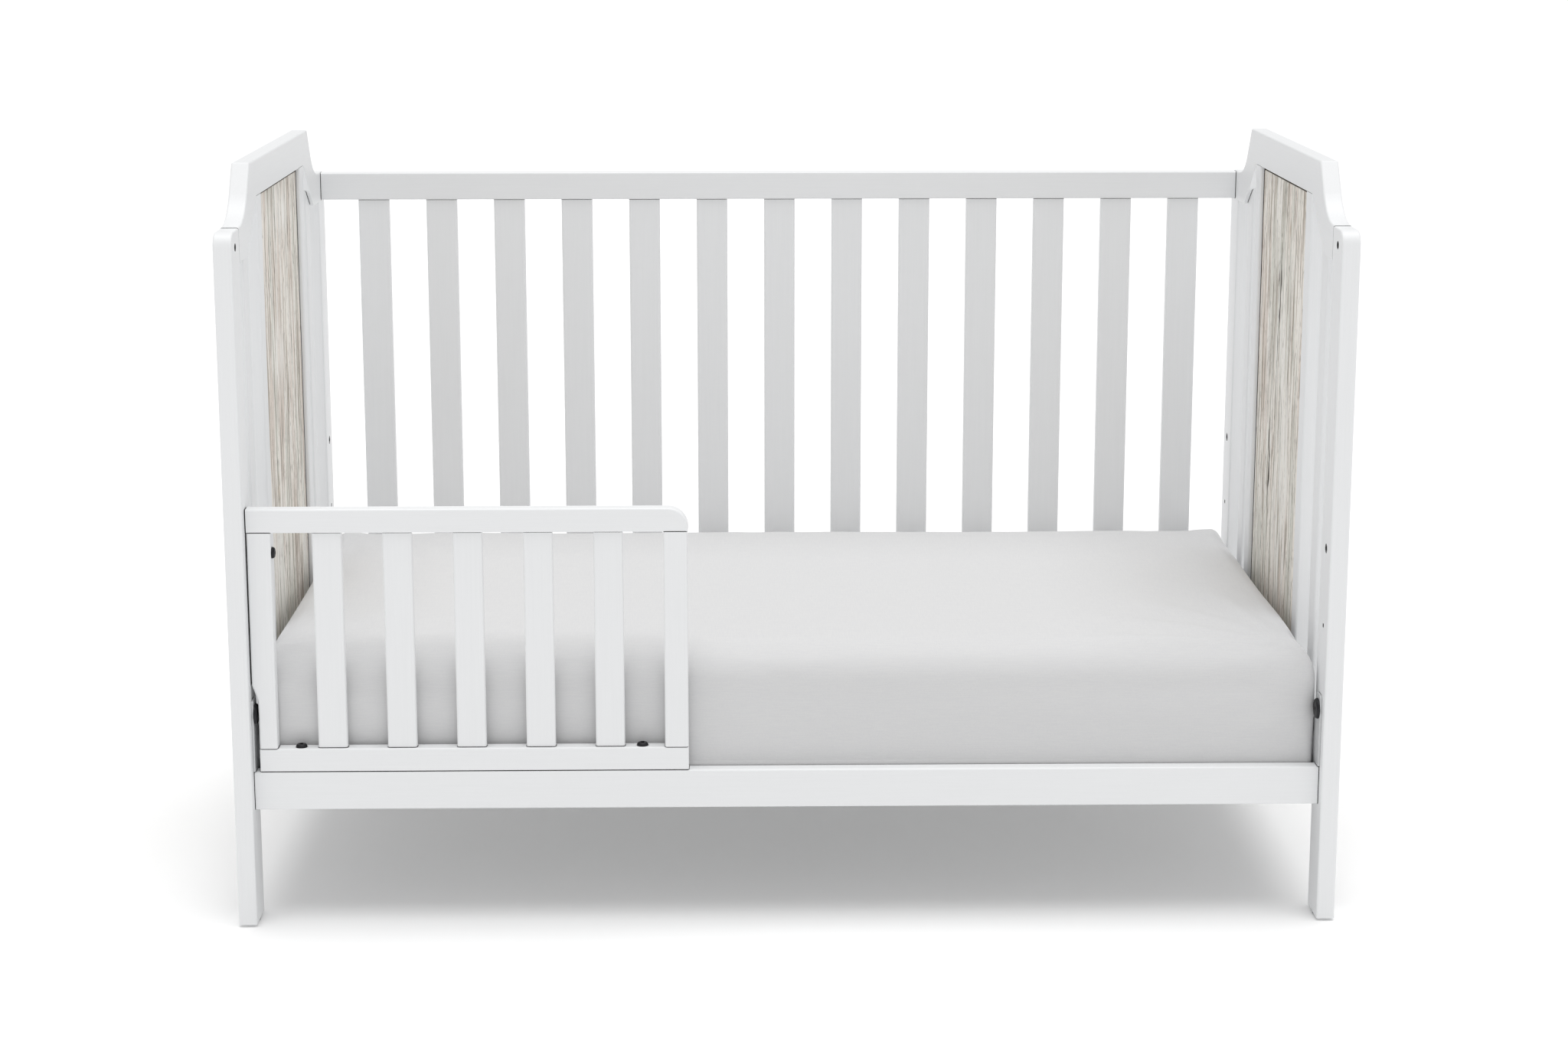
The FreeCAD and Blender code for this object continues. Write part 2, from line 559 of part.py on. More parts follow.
# guard rail
def guardRail():
    """Short guard bolted onto the lower rail and to the left front post."""
    thick = "Sizes.railThick"
    y = edgeY("front", "Sizes.railInset")
    stileBottom = f"{LOW_RAIL_TOP} + Sizes.guardRailHeight"
    stileHeight = f"Sizes.guardTop - 2 * Sizes.guardRailHeight - {LOW_RAIL_TOP}"
    railUnder = "Sizes.guardTop - Sizes.guardRailHeight"

    top = newBody("guard_top_rail")
    length = "Sizes.guardLength"
    sketch = outline(top, "XZ_Plane", [("0", "0"), (length, "0"), (length, "Sizes.guardRailHeight"),
                                       ("0", "Sizes.guardRailHeight")])
    pad(top, sketch, thick, reverse=True)
    cornerX, cornerZ = size("guardLength"), size("guardRailHeight")

    def freeCorner(edge):
        centre = edge.CenterOfMass
        return abs(centre.x - cornerX) < NEAR and abs(centre.z - cornerZ) < NEAR
    rounded(top, "Sizes.guardCornerRadius", freeCorner)
    rounded(top, "Sizes.edgeRadius", sharp(top, skip=lambda edge: edge.CenterOfMass.x < NEAR))
    bind(top, x=GUARD_LEFT, y=y, z=railUnder)
    keep(top, "guard_top_rail")

    bottom = bar("guard_bottom_rail", "x", (thick, "Sizes.guardRailHeight"),
                 "Sizes.guardLength - Sizes.notchWidth - Sizes.guardOverhang",
                 x=f"{GUARD_LEFT} + Sizes.notchWidth", y=y, z=LOW_RAIL_TOP)
    line = edgeY("front", BOLT_LINE)
    holes = [("z", "Sizes.guardHole", "Sizes.guardRailHeight", (across, line, LOW_RAIL_TOP))
             for across in GUARD_BOLTS]
    keep(drill("guard_bottom_rail", bottom, holes), "guard_bottom_rail")

    left = newBody("guard_left_stile")
    wide = "Sizes.guardStileWidth"
    lowSlope = f"Sizes.notchBottom - ({stileBottom})"
    highSlope = f"Sizes.notchTop - ({stileBottom})"
    sketch = outline(left, "XZ_Plane", [("Sizes.notchWidth", "0"), (wide, "0"), (wide, stileHeight),
                                        ("0", stileHeight), ("0", highSlope), ("Sizes.notchWidth", lowSlope)])
    pad(left, sketch, thick, reverse=True)
    slopeEnds = (evaluate(lowSlope), evaluate(highSlope))

    def slopeCorner(edge):
        centre = edge.CenterOfMass
        return centre.x < size("notchWidth") + NEAR and min(abs(centre.z - up) for up in slopeEnds) < NEAR \
            and along(AXES["y"])(edge)
    rounded(left, "Sizes.notchRadius", slopeCorner)

    def level(edge):
        centre = edge.CenterOfMass
        return centre.z < NEAR or centre.z > evaluate(stileHeight) - NEAR
    rounded(left, "Sizes.edgeRadius", sharp(left, skip=level))
    rounded(left, "Sizes.endRadius", sharp(left))
    bind(left, x=GUARD_LEFT, y=y, z=stileBottom)
    side = [("x", "Sizes.guardHole", wide, (GUARD_LEFT, line, "Sizes.insertHigh"))]
    keep(drill("guard_left_stile", left, side), "guard_left_stile")

    right = bar("guard_right_stile", "z", (wide, thick), stileHeight,
                x=f"{GUARD_LEFT} + Sizes.guardLength - Sizes.guardOverhang - {wide}", y=y, z=stileBottom)
    keep(right, "guard_right_stile")

    clear = f"(Sizes.guardLength - Sizes.guardOverhang - 2 * {wide})"
    gap = f"({clear} - Sizes.guardSlatCount * Sizes.guardSlatWidth) / (Sizes.guardSlatCount + 1)"
    for number in range(int(size("guardSlatCount"))):
        label = f"guard_slat_{number + 1}"
        start = f"{GUARD_LEFT} + {wide} + {gap} * {number + 1} + Sizes.guardSlatWidth * {number}"
        slat = bar(label, "z", ("Sizes.guardSlatWidth", "Sizes.slatThick"), stileHeight, "Sizes.slatRadius",
                   x=start, y=edgeY("front", f"{BOLT_LINE} - Sizes.slatThick / 2"), z=stileBottom)
        keep(slat, label)


# mattress and sheet
def softBlock(label, skin, base):
    """Rounded block as large as the sheet's outside, less a skin all round."""
    body = newBody(label)
    long = f"{INNER_LENGTH} - 2 * Sizes.mattressEndClear - 2 * {skin}"
    wide = f"Sizes.bedWidth - 2 * (Sizes.railInset + Sizes.railThick + Sizes.mattressSideClear) - 2 * {skin}"
    high = f"Sizes.mattressHeight + 2 * (Sizes.sheetThick - {skin})"
    sketch = outline(body, "XY_Plane", [(f"-({long}) / 2", f"-({wide}) / 2"), (f"({long}) / 2", f"-({wide}) / 2"),
                                        (f"({long}) / 2", f"({wide}) / 2"), (f"-({long}) / 2", f"({wide}) / 2")])
    pad(body, sketch, high)
    rounded(body, f"Sizes.mattressCornerRadius - {skin}", along(AXES["z"]))
    rounded(body, f"Sizes.mattressUnderRadius - {skin}", sharp(body, skip=lambda edge: edge.CenterOfMass.z > NEAR))
    rounded(body, f"Sizes.mattressTopRadius - {skin}", sharp(body))
    bind(body, z=base)
    return body


def mattress():
    """Foam mattress inside a fitted sheet that covers top and sides and turns under in a hem."""
    core = softBlock("mattress", "Sizes.sheetThick", "Sizes.supportTop + Sizes.sheetThick")
    keep(core, "mattress")
    outer = softBlock("sheet_outside", "0", "Sizes.supportTop")
    opening = doc.addObject("Part::Box", "hem_opening")
    inner = f"{INNER_LENGTH} - 2 * Sizes.mattressEndClear - 2 * Sizes.hemWidth"
    across = f"Sizes.bedWidth - 2 * (Sizes.railInset + Sizes.railThick + Sizes.mattressSideClear + Sizes.hemWidth)"
    bind(opening, Length=inner, Width=across, Height="2 * Sizes.sheetThick",
         x=f"-({inner}) / 2", y=f"-({across}) / 2", z="Sizes.supportTop - Sizes.sheetThick")
    shell = doc.addObject("Part::Cut", "sheet_shell")
    shell.Base = outer
    shell.Tool = core
    fitted = doc.addObject("Part::Cut", "fitted_sheet")
    fitted.Base = shell
    fitted.Tool = opening
    doc.recompute()
    keep(fitted, "fitted_sheet")


# steel mattress support
def angleOutline(out):
    """L section with its level leg on top and its upright leg on the outer side; out is -1 or 1."""
    leg, thin = "Sizes.angleLeg", "Sizes.angleThick"
    if out < 0:
        flat = [("0", f"-{leg}"), (thin, f"-{leg}"), (thin, f"-{thin}"), (leg, f"-{thin}"), (leg, "0"), ("0", "0")]
    else:
        flat = [(leg, f"-{leg}"), (leg, "0"), ("0", "0"), ("0", f"-{thin}"), (f"{leg} - {thin}", f"-{thin}"),
                (f"{leg} - {thin}", f"-{leg}")]
    return flat


def angleBars():
    for edge, out in EDGES.items():
        label = f"support_{edge}_angle"
        body = newBody(label)
        pad(body, outline(body, "YZ_Plane", angleOutline(out)), f"2 * {SUPPORT_HALF}")
        bind(body, x=f"-{SUPPORT_HALF}", y=edgeY(edge, ANGLE_IN, "Sizes.angleLeg"), z="Sizes.supportTop")
        keep(body, label)
    span = f"Sizes.bedWidth - 2 * ({ANGLE_IN} + Sizes.angleLeg)"
    for side, out in SIDES.items():
        label = f"support_{side}_angle"
        body = newBody(label)
        pad(body, outline(body, "XZ_Plane", angleOutline(out)), span, reverse=True)
        start = f"-{SUPPORT_HALF}" if side == "left" else f"{SUPPORT_HALF} - Sizes.angleLeg"
        bind(body, x=start, y=edgeY("front", f"{ANGLE_IN} + Sizes.angleLeg"), z="Sizes.supportTop")
        keep(body, label)


def wireGrid():
    """Welded wire grid hung in the angle frame by tension springs."""
    wires, springs = [], []
    wire, spring = "Sizes.wireDiameter", "Sizes.springDiameter"
    longHalf = f"({SUPPORT_HALF} - Sizes.angleLeg - Sizes.springLength)"
    longZ = f"Sizes.supportTop - {wire} / 2 - ({spring} - {wire}) / 2"
    crossZ = f"{longZ} - {wire}"
    frontIn = f"({ANGLE_IN} + Sizes.angleLeg)"
    clearWide = f"(Sizes.bedWidth - 2 * {frontIn})"
    longCount, crossCount = int(size("longWireCount")), int(size("crossWireCount"))
    for number in range(longCount):
        y = edgeY("front", f"{frontIn} + {clearWide} * {number + 0.5} / Sizes.longWireCount")
        wires.append(rod("long_wire", "x", wire, f"2 * {longHalf}", (f"-{longHalf}", y, longZ)))
        for start in (f"-{longHalf} - Sizes.springLength", longHalf):
            springs.append(rod("end_spring", "x", spring, "Sizes.springLength", (start, y, longZ)))
    for number in range(crossCount):
        x = f"2 * {longHalf} * {number + 0.5} / Sizes.crossWireCount - {longHalf}"
        wires.append(rod("cross_wire", "y", wire, f"{clearWide} - 2 * Sizes.springLength",
                         (x, edgeY("front", f"{frontIn} + Sizes.springLength"), crossZ)))
        for start in (edgeY("front", frontIn), edgeY("rear", f"{frontIn} + Sizes.springLength")):
            springs.append(rod("side_spring", "y", spring, "Sizes.springLength", (x, start, crossZ)))
    grouped("support_wires", wires)
    grouped("support_springs", springs)


def hangers():
    """Flat steel hangers: each is bolted to a post and carries a corner of the angle frame."""
    low = f"{LOW_RAIL_TOP} + Sizes.hangerClear"
    members = []
    for side in SIDES:
        for edge in EDGES:
            body = newBody(f"hanger_{side}_{edge}")
            corners = [("Sizes.hangerEnd", low), ("Sizes.hangerEnd", "Sizes.hangerTop"),
                       ("Sizes.hangerNeck", "Sizes.hangerTop"),
                       ("Sizes.hangerFoot", f"{LOW_RAIL_TOP} + Sizes.hangerShoulder"),
                       ("Sizes.hangerFoot", "Sizes.supportTop - Sizes.angleLeg"),
                       (ANGLE_IN, "Sizes.supportTop - Sizes.angleLeg"),
                       (ANGLE_IN, low)]
            if edge == "front":
                placed = [(f"{across} - {HALF_WIDTH}", up) for across, up in corners]
            else:
                placed = [(f"{HALF_WIDTH} - {across}", up) for across, up in reversed(corners)]
            pad(body, outline(body, "YZ_Plane", placed), "Sizes.angleThick")
            rounded(body, "Sizes.hangerRadius", lambda picked: along(AXES["x"])(picked)
                    and picked.CenterOfMass.z > evaluate(low) + NEAR)
            start = f"-{INNER_X}" if side == "left" else SUPPORT_HALF
            bind(body, x=start)
            hole = ("x", "Sizes.guardHole", "Sizes.angleThick",
                    (start, edgeY(edge, BOLT_LINE), "Sizes.insertLow"))
            members.append(drill(f"hanger_{side}_{edge}_drilled", body, [hole]))
    grouped("mattress_hangers", members)


# fasteners
def boltBody(label, head, height, shank, length, dome):
    """Bolt along +Z: its head's bearing face is at 0, head above, shank below, with a hexagon socket."""
    body = newBody(label)
    pad(body, circle(body, head), height)

    def rim(edge):
        return edge.CenterOfMass.z > evaluate(height) - NEAR
    rounded(body, dome, rim)
    pad(body, circle(body, shank), length, reverse=True)
    corner = "Sizes.socketWidth / sqrt(3)"
    hexagon = [(f"{corner} * cos({60 * step})", f"{corner} * sin({60 * step})") for step in range(6)]
    sketch = outline(body, "XY_Plane", hexagon)
    sketch.setExpression(".AttachmentOffset.Base.z", height)
    pocket(body, sketch, "Sizes.socketDepth")
    return body


def placedCopies(label, master, places):
    """Identical pieces as one group: each place is (direction its +Z points, x, y, z)."""
    copies = []
    for direction, *place in places:
        copy = doc.addObject("App::Link", f"{label}_copy")
        copy.LinkedObject = master
        copy.Placement.Rotation = TURNS[direction]
        bind(copy, **dict(zip("xyz", place)))
        copies.append(copy)
    grouped(label, copies)


def fasteners():
    railBolts = [("front", LOW_BOLT), ("rear", LOW_BOLT), ("rear", BACK_TOP_BOLT)]
    seat = f"({HALF_LENGTH} - Sizes.counterboreDepth)"
    master = boltBody("panel_bolt", "Sizes.panelHead", "Sizes.panelHeadHeight", "Sizes.panelShank",
                      "Sizes.postThick - Sizes.counterboreDepth + Sizes.panelBoltReach", "Sizes.panelHeadRadius")
    places = []
    for edge, height in railBolts:
        line = edgeY(edge, BOLT_LINE)
        places += [("-x", f"-{seat}", line, height), ("x", seat, line, height)]
    placedCopies("panel_bolts", master, places)

    nut = doc.addObject("Part::Cylinder", "nut_blank")
    bind(nut, Radius="Sizes.nutDiameter / 2", Height="Sizes.nutLength")
    thread = ("x", "Sizes.panelShank", "Sizes.nutDiameter + 2 * Sizes.boreOverrun",
              ("-Sizes.nutDiameter / 2 - Sizes.boreOverrun", "0", "Sizes.nutLength / 2"))
    master = drill("barrel_nut", nut, [thread])
    places = []
    for edge, height in railBolts:
        low = f"{edgeY(edge, BOLT_LINE)} - Sizes.nutLength / 2"
        places += [("y", f"Sizes.nutIn - {INNER_X}", low, height),
                   ("y", f"{INNER_X} - Sizes.nutIn", low, height)]
    placedCopies("barrel_nuts", master, places)

    insert = doc.addObject("Part::Cylinder", "insert_blank")
    bind(insert, Radius="Sizes.insertDiameter / 2", Height="Sizes.insertLength")
    master = drill("threaded_insert", insert, [("z", "Sizes.threadHole", "Sizes.insertLength", ("0", "0", "0"))])
    places = []
    for edge in EDGES:
        for height in ("Sizes.insertLow", "Sizes.insertHigh"):
            line = edgeY(edge, BOLT_LINE)
            places += [("-x", f"-{INNER_X}", line, height), ("x", INNER_X, line, height)]
    placedCopies("threaded_inserts", master, places)

    master = boltBody("hanger_bolt", "Sizes.knobDiameter", "Sizes.knobHeight", "Sizes.shankDiameter",
                      "Sizes.angleThick + Sizes.insertLength - Sizes.insertSpare", "Sizes.knobRadius")
    places = [(direction, f"{sign} * {SUPPORT_HALF}", edgeY(edge, BOLT_LINE), "Sizes.insertLow")
              for direction, sign in (("x", "-1"), ("-x", "1")) for edge in EDGES]
    placedCopies("hanger_bolts", master, places)

    line = edgeY("front", BOLT_LINE)
    master = boltBody("guard_bolt", "Sizes.guardHead", "Sizes.guardHeadHeight", "Sizes.shankDiameter",
                      "Sizes.guardRailHeight + Sizes.guardBoltIn", "Sizes.guardHeadRadius")
    top = f"{LOW_RAIL_TOP} + Sizes.guardRailHeight"
    placedCopies("guard_bolts", master, [("z", across, line, top) for across in GUARD_BOLTS])
    master = boltBody("guard_post_bolt", "Sizes.guardHead", "Sizes.guardHeadHeight", "Sizes.shankDiameter",
                      "Sizes.guardStileWidth + Sizes.guardGap + Sizes.insertLength - Sizes.insertSpare",
                      "Sizes.guardHeadRadius")
    placedCopies("guard_side_bolt", master,
                 [("x", f"{GUARD_LEFT} + Sizes.guardStileWidth", line, "Sizes.insertHigh")])

    washer = doc.addObject("Part::Cylinder", "washer_blank")
    bind(washer, Radius="Sizes.guardHead / 2", Height="Sizes.guardGap")
    master = drill("plain_washer", washer, [("z", "Sizes.guardHole", "Sizes.guardGap", ("0", "0", "0"))])
    placedCopies("guard_washer", master, [("x", f"-{INNER_X}", line, "Sizes.insertHigh")])


def glides():
    """Low plastic glides under the posts."""
    body = newBody("glide")
    pad(body, circle(body, "Sizes.glideDiameter"), "Sizes.glideHeight")
    rounded(body, "Sizes.glideRadius", lambda edge: edge.CenterOfMass.z < NEAR)
    places = [("z", f"{sign} * ({HALF_LENGTH} - Sizes.postThick / 2)",
               edgeY(edge, "Sizes.postDepth / 2"), "0") for sign in (-1, 1) for edge in EDGES]
    placedCopies("floor_glides", body, places)


for sideName in SIDES:
    for edgeName in EDGES:
        post(sideName, edgeName)
        stile(sideName, edgeName)
        endSlat(sideName, edgeName)
    crestRail(sideName)
    bottomRail(sideName)
    woodPanel(sideName)
rails()
backSlats()
guardRail()
mattress()
angleBars()
wireGrid()
hangers()
fasteners()
glides()
doc.recompute()

# every object and every sub-part has to be sound before anything is written
for item in doc.Objects:
    if "Invalid" in item.State or "Error" in item.State:
        raise RuntimeError(f"{item.Label}: {item.State}")
labels = [part.Label for part in parts]
if len(set(labels)) != len(labels):
    raise RuntimeError("two sub-parts share a name")
for part in parts:
    if part.Shape.isNull() or not part.Shape.isValid():
        raise RuntimeError(f"{part.Label}: shape is not valid")

os.makedirs("parts", exist_ok=True)
for part in parts:
    part.Shape.exportStep(f"parts/{part.Label}.step")
print(f"{len(parts)} sub-parts written")
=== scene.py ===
import math
import bmesh
import bpy
import numpy
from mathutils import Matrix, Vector


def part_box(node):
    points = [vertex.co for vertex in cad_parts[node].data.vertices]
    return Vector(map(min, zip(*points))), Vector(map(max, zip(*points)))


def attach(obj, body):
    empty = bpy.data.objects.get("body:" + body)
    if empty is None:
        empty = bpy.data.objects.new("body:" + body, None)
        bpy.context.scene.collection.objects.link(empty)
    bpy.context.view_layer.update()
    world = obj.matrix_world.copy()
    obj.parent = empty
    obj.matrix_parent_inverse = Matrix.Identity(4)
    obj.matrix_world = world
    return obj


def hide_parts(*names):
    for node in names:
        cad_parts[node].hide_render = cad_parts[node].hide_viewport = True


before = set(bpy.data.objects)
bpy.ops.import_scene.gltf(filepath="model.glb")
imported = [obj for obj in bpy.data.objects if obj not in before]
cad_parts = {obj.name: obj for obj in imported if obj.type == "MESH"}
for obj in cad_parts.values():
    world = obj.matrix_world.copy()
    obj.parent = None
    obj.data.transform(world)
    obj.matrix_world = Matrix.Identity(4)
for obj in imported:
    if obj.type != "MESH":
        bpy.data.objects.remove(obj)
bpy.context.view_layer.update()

scene = bpy.context.scene
print("frame loaded:", len(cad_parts), "parts")

# lengths are in metres, as in the frame; mm below turns millimetres into them
mm = 0.001


def fromHex(code):  # sRGB hex to linear colour
    parts = [int(code[start:start + 2], 16) / 255 for start in (0, 2, 4)]
    return tuple(part / 12.92 if part <= 0.04045 else ((part + 0.055) / 1.055) ** 2.4 for part in parts) + (1.0,)


# a socket among the inputs is linked, a value is set; numbered inputs: a MapRange maps 1 to 2 onto 3 to 4,
# a colour Mix takes its share at 0 and the two colours at 6 and 7
def addNode(tree, kind, settings=(), inputs=()):
    node = tree.nodes.new("ShaderNode" + kind)
    for name, value in dict(settings).items():
        setattr(node, name, value)
    for name, value in dict(inputs).items():
        if isinstance(value, bpy.types.NodeSocket):
            tree.links.new(value, node.inputs[name])
        else:
            node.inputs[name].default_value = value
    return node


def newMaterial(name, roughness):
    material = bpy.data.materials.new(name)
    material.use_nodes = True
    tree = material.node_tree
    shader = tree.nodes["Principled BSDF"]
    shader.inputs["Roughness"].default_value = roughness
    return material, tree, shader


def cell(x, y, z):  # noise scale for a pattern whose grains measure x, y and z metres
    return (1 / x, 1 / y, 1 / z)


def along(axis, length, width):  # grain size of a pattern that runs along one axis
    return cell(*(length if name == axis else width for name in "xyz"))


noiseLow, noiseHigh = 0.3, 0.7  # between which nearly all of a noise lies

# satin white lacquer sprayed on rubberwood: the paint levels out, so the grain only just telegraphs,
# with a faint spray texture; the fine grooves at the joints and other tight hollows are painted near-black as shade
lacquer = {
    "colour": "ECEDEE", "thin": "E8E9EA", "groove": "1C1C1E", "roughness": 0.42, "smoother": 0.04, "rougher": 0.05,
    "grainLength": 90 * mm, "grainWidth": 2.4 * mm, "grainDepth": 0.006 * mm,
    "raisedFrom": 0.35, "raisedFull": 0.75, "raisedMost": 0.5, "toneSize": 160 * mm, "toneShare": 0.5,
    "sprayGrain": 2.2 * mm, "sprayDepth": 0.008 * mm,
    "grooveReach": 2 * mm, "grooveFull": 0.6, "grooveFrom": 0.88,
}


def makeLacquer(axis):
    p = lacquer
    material, tree, shader = newMaterial("satinLacquer_" + axis, p["roughness"])
    place = addNode(tree, "TexCoord").outputs["Object"]
    stretched = addNode(tree, "Mapping", (), {
        "Vector": place, "Scale": along(axis, p["grainLength"], p["grainWidth"])})
    grain = addNode(tree, "TexNoise", (), {"Vector": stretched.outputs[0], "Scale": 1.0,
                                           "Detail": 4.0, "Roughness": 0.6})
    spray = addNode(tree, "TexNoise", (), {"Vector": place, "Scale": 1 / p["sprayGrain"], "Detail": 2.0})
    tone = addNode(tree, "TexNoise", (), {"Vector": place, "Scale": 1 / p["toneSize"], "Detail": 2.0})
    # the coat is a touch thinner along the raised grain
    raised = addNode(tree, "MapRange", (), {"Value": grain.outputs[0], 1: p["raisedFrom"], 2: p["raisedFull"],
                                            3: 0.0, 4: p["raisedMost"]})
    patch = addNode(tree, "Math", {"operation": "MULTIPLY_ADD"},
                    {0: tone.outputs[0], 1: p["toneShare"], 2: raised.outputs[0]})
    paint = addNode(tree, "Mix", {"data_type": "RGBA"},
                    {0: patch.outputs[0], 6: fromHex(p["colour"]), 7: fromHex(p["thin"])})
    # painted shade: where the surface is closely enclosed, the paint is mixed towards near-black
    cover = addNode(tree, "AmbientOcclusion", {"samples": 8}, {"Distance": p["grooveReach"]})
    grooveShadeShare = addNode(tree, "MapRange", (), {"Value": cover.outputs["AO"], 1: p["grooveFull"], 2: p["grooveFrom"],
                                            3: 1.0, 4: 0.0})
    grooveShaded = addNode(tree, "Mix", {"data_type": "RGBA"},
                    {0: grooveShadeShare.outputs[0], 6: paint.outputs[2], 7: fromHex(p["groove"])})
    tree.links.new(grooveShaded.outputs[2], shader.inputs["Base Color"])
    rough = addNode(tree, "MapRange", (), {"Value": spray.outputs[0], 1: noiseLow, 2: noiseHigh,
                                           3: p["roughness"] - p["smoother"], 4: p["roughness"] + p["rougher"]})
    tree.links.new(rough.outputs[0], shader.inputs["Roughness"])
    lower = addNode(tree, "Bump", (), {"Height": grain.outputs[0], "Strength": 0.5, "Distance": p["grainDepth"]})
    upper = addNode(tree, "Bump", (), {"Height": spray.outputs[0], "Strength": 0.5, "Distance": p["sprayDepth"],
                                       "Normal": lower.outputs[0]})
    tree.links.new(upper.outputs[0], shader.inputs["Normal"])
    return material


# weathered softwood, wire-brushed and limewashed: grey-beige ground, dark late-wood lines, chalky worn
# streaks and splits whose torn fibres stay brown, with painted shade in the seams and crevices; the mesh carries the
# relief and says where they are
pine = {
    "ground": "F7F3EB", "roughness": 0.82, "specular": 0.25, "wander": 130 * mm, "bend": 9 * mm,
    "lineDepth": 0.6 * mm, "hairDepth": 0.3 * mm, "seamShadeReach": 3.5 * mm,
    # grain length, grain width, detail
    "patterns": {"bands": (480 * mm, 40 * mm, 2.0), "lines": (260 * mm, 8 * mm, 3.0),
                 "hairs": (130 * mm, 3.6 * mm, 3.0), "pores": (16 * mm, 2 * mm, 1.0)},
    # painted one over the other: pattern, where it starts and is full, its most, colour
    "layers": [("bands", 0.50, 0.42, 1.0, "DFDED5"), ("bands", 0.53, 0.62, 0.9, "E6DBD1"),
               ("lines", 0.53, 0.60, 0.85, "B9AEA2"), ("lines", 0.47, 0.38, 0.9, "F5F2ED"),
               ("hairs", 0.56, 0.63, 0.85, "84786C"), ("pores", 0.62, 0.70, 0.6, "5A5047"),
               ("knot", 0.0, 1.0, 1.0, "CBBBAA"), ("worn", 0.0, 1.0, 1.0, "F8F6F1"),
               # the last layer paints shade into crevices, and the torn layer also paints the seam strip dark as
               # shade
               ("torn", 0.10, 0.42, 1.0, "3A2F27"), ("shadedSeam", 0.6, 0.3, 1.0, "25211D")],
}


def makePine():
    p = pine
    material, tree, shader = newMaterial("weatheredPine", p["roughness"])
    shader.inputs["Specular IOR Level"].default_value = p["specular"]
    place = addNode(tree, "TexCoord").outputs["Object"]
    wander = addNode(tree, "TexNoise", (), {"Vector": place, "Scale": 1 / p["wander"], "Detail": 1.0})
    bend = addNode(tree, "VectorMath", {"operation": "MULTIPLY_ADD"},
                   {0: wander.outputs["Color"], 1: (p["bend"], p["bend"], 0.0), 2: place})
    # painted shade: how enclosed a point is, which darkens crevices and the seam at the frame
    cover = addNode(tree, "AmbientOcclusion", {"samples": 8}, {"Distance": p["seamShadeReach"]})
    patterns = {"shadedSeam": cover.outputs["AO"]}
    for name, (length, width, detail) in p["patterns"].items():
        stretched = addNode(tree, "Mapping", (), {"Vector": bend.outputs[0], "Scale": along("z", length, width)})
        noise = addNode(tree, "TexNoise", (), {"Vector": stretched.outputs[0], "Scale": 1.0,
                                               "Detail": detail, "Roughness": 0.62})
        patterns[name] = noise.outputs[0]
    for name in ("torn", "worn", "knot"):
        patterns[name] = addNode(tree, "Attribute", {"attribute_name": name}).outputs["Fac"]
    colour = fromHex(p["ground"])
    for name, first, full, most, code in p["layers"]:
        share = addNode(tree, "MapRange", {"interpolation_type": "SMOOTHSTEP"},
                        {"Value": patterns[name], 1: first, 2: full, 3: 0.0, 4: most})
        painted = addNode(tree, "Mix", {"data_type": "RGBA"}, {0: share.outputs[0], 6: colour, 7: fromHex(code)})
        colour = painted.outputs[2]
    tree.links.new(colour, shader.inputs["Base Color"])
    bump = addNode(tree, "Bump", (), {"Height": patterns["lines"], "Strength": 0.8, "Distance": -p["lineDepth"]})
    fine = addNode(tree, "Bump", (), {"Height": patterns["hairs"], "Strength": 0.6, "Distance": -p["hairDepth"],
                                      "Normal": bump.outputs[0]})
    tree.links.new(fine.outputs[0], shader.inputs["Normal"])
    return material


# walls of the holes drilled through the posts: painted near-black as the shade deep inside the holes
boreShade = {"colour": "1F1B18", "deepShade": "0F0D0C", "roughness": 0.9, "grain": 1.5 * mm}


def makeBoreShade():
    p = boreShade
    material, tree, shader = newMaterial("shadedBore", p["roughness"])
    place = addNode(tree, "TexCoord").outputs["Object"]
    grain = addNode(tree, "TexNoise", (), {"Vector": place, "Scale": 1 / p["grain"], "Detail": 2.0})
    colour = addNode(tree, "Mix", {"data_type": "RGBA"},
                     {0: grain.outputs[0], 6: fromHex(p["colour"]), 7: fromHex(p["deepShade"])})
    tree.links.new(colour.outputs[2], shader.inputs["Base Color"])
    return material


# steel hardware: black oxide is a thin matt conversion coat, zinc is bright with a cloudy passivation,
# the light plate is paler and duller, powder coat is a plastic skin with a fine orange peel
steel = {
    "blackOxide": {"colour": "1E1E20", "patch": "303033", "roughness": 0.42, "metallic": 0.6,
                   "cloud": 6 * mm, "depth": 0.02 * mm},
    "zincPlate": {"colour": "B9BBBC", "patch": "9FA2A4", "roughness": 0.34, "metallic": 1.0,
                  "cloud": 9 * mm, "depth": 0.01 * mm},
    "lightPlate": {"colour": "D6D7D8", "patch": "C6C8C9", "roughness": 0.36, "metallic": 0.25,
                   "cloud": 9 * mm, "depth": 0.01 * mm},
    "drawnWire": {"colour": "A8AAAB", "patch": "8E9092", "roughness": 0.38, "metallic": 1.0,
                  "cloud": 14 * mm, "depth": 0.01 * mm},
    "powderCoat": {"colour": "8B8C8E", "patch": "818284", "roughness": 0.5, "metallic": 0.0,
                   "cloud": 2.5 * mm, "depth": 0.04 * mm},
}


steelSmoother, steelRougher = 0.06, 0.08  # how far the roughness strays from its value


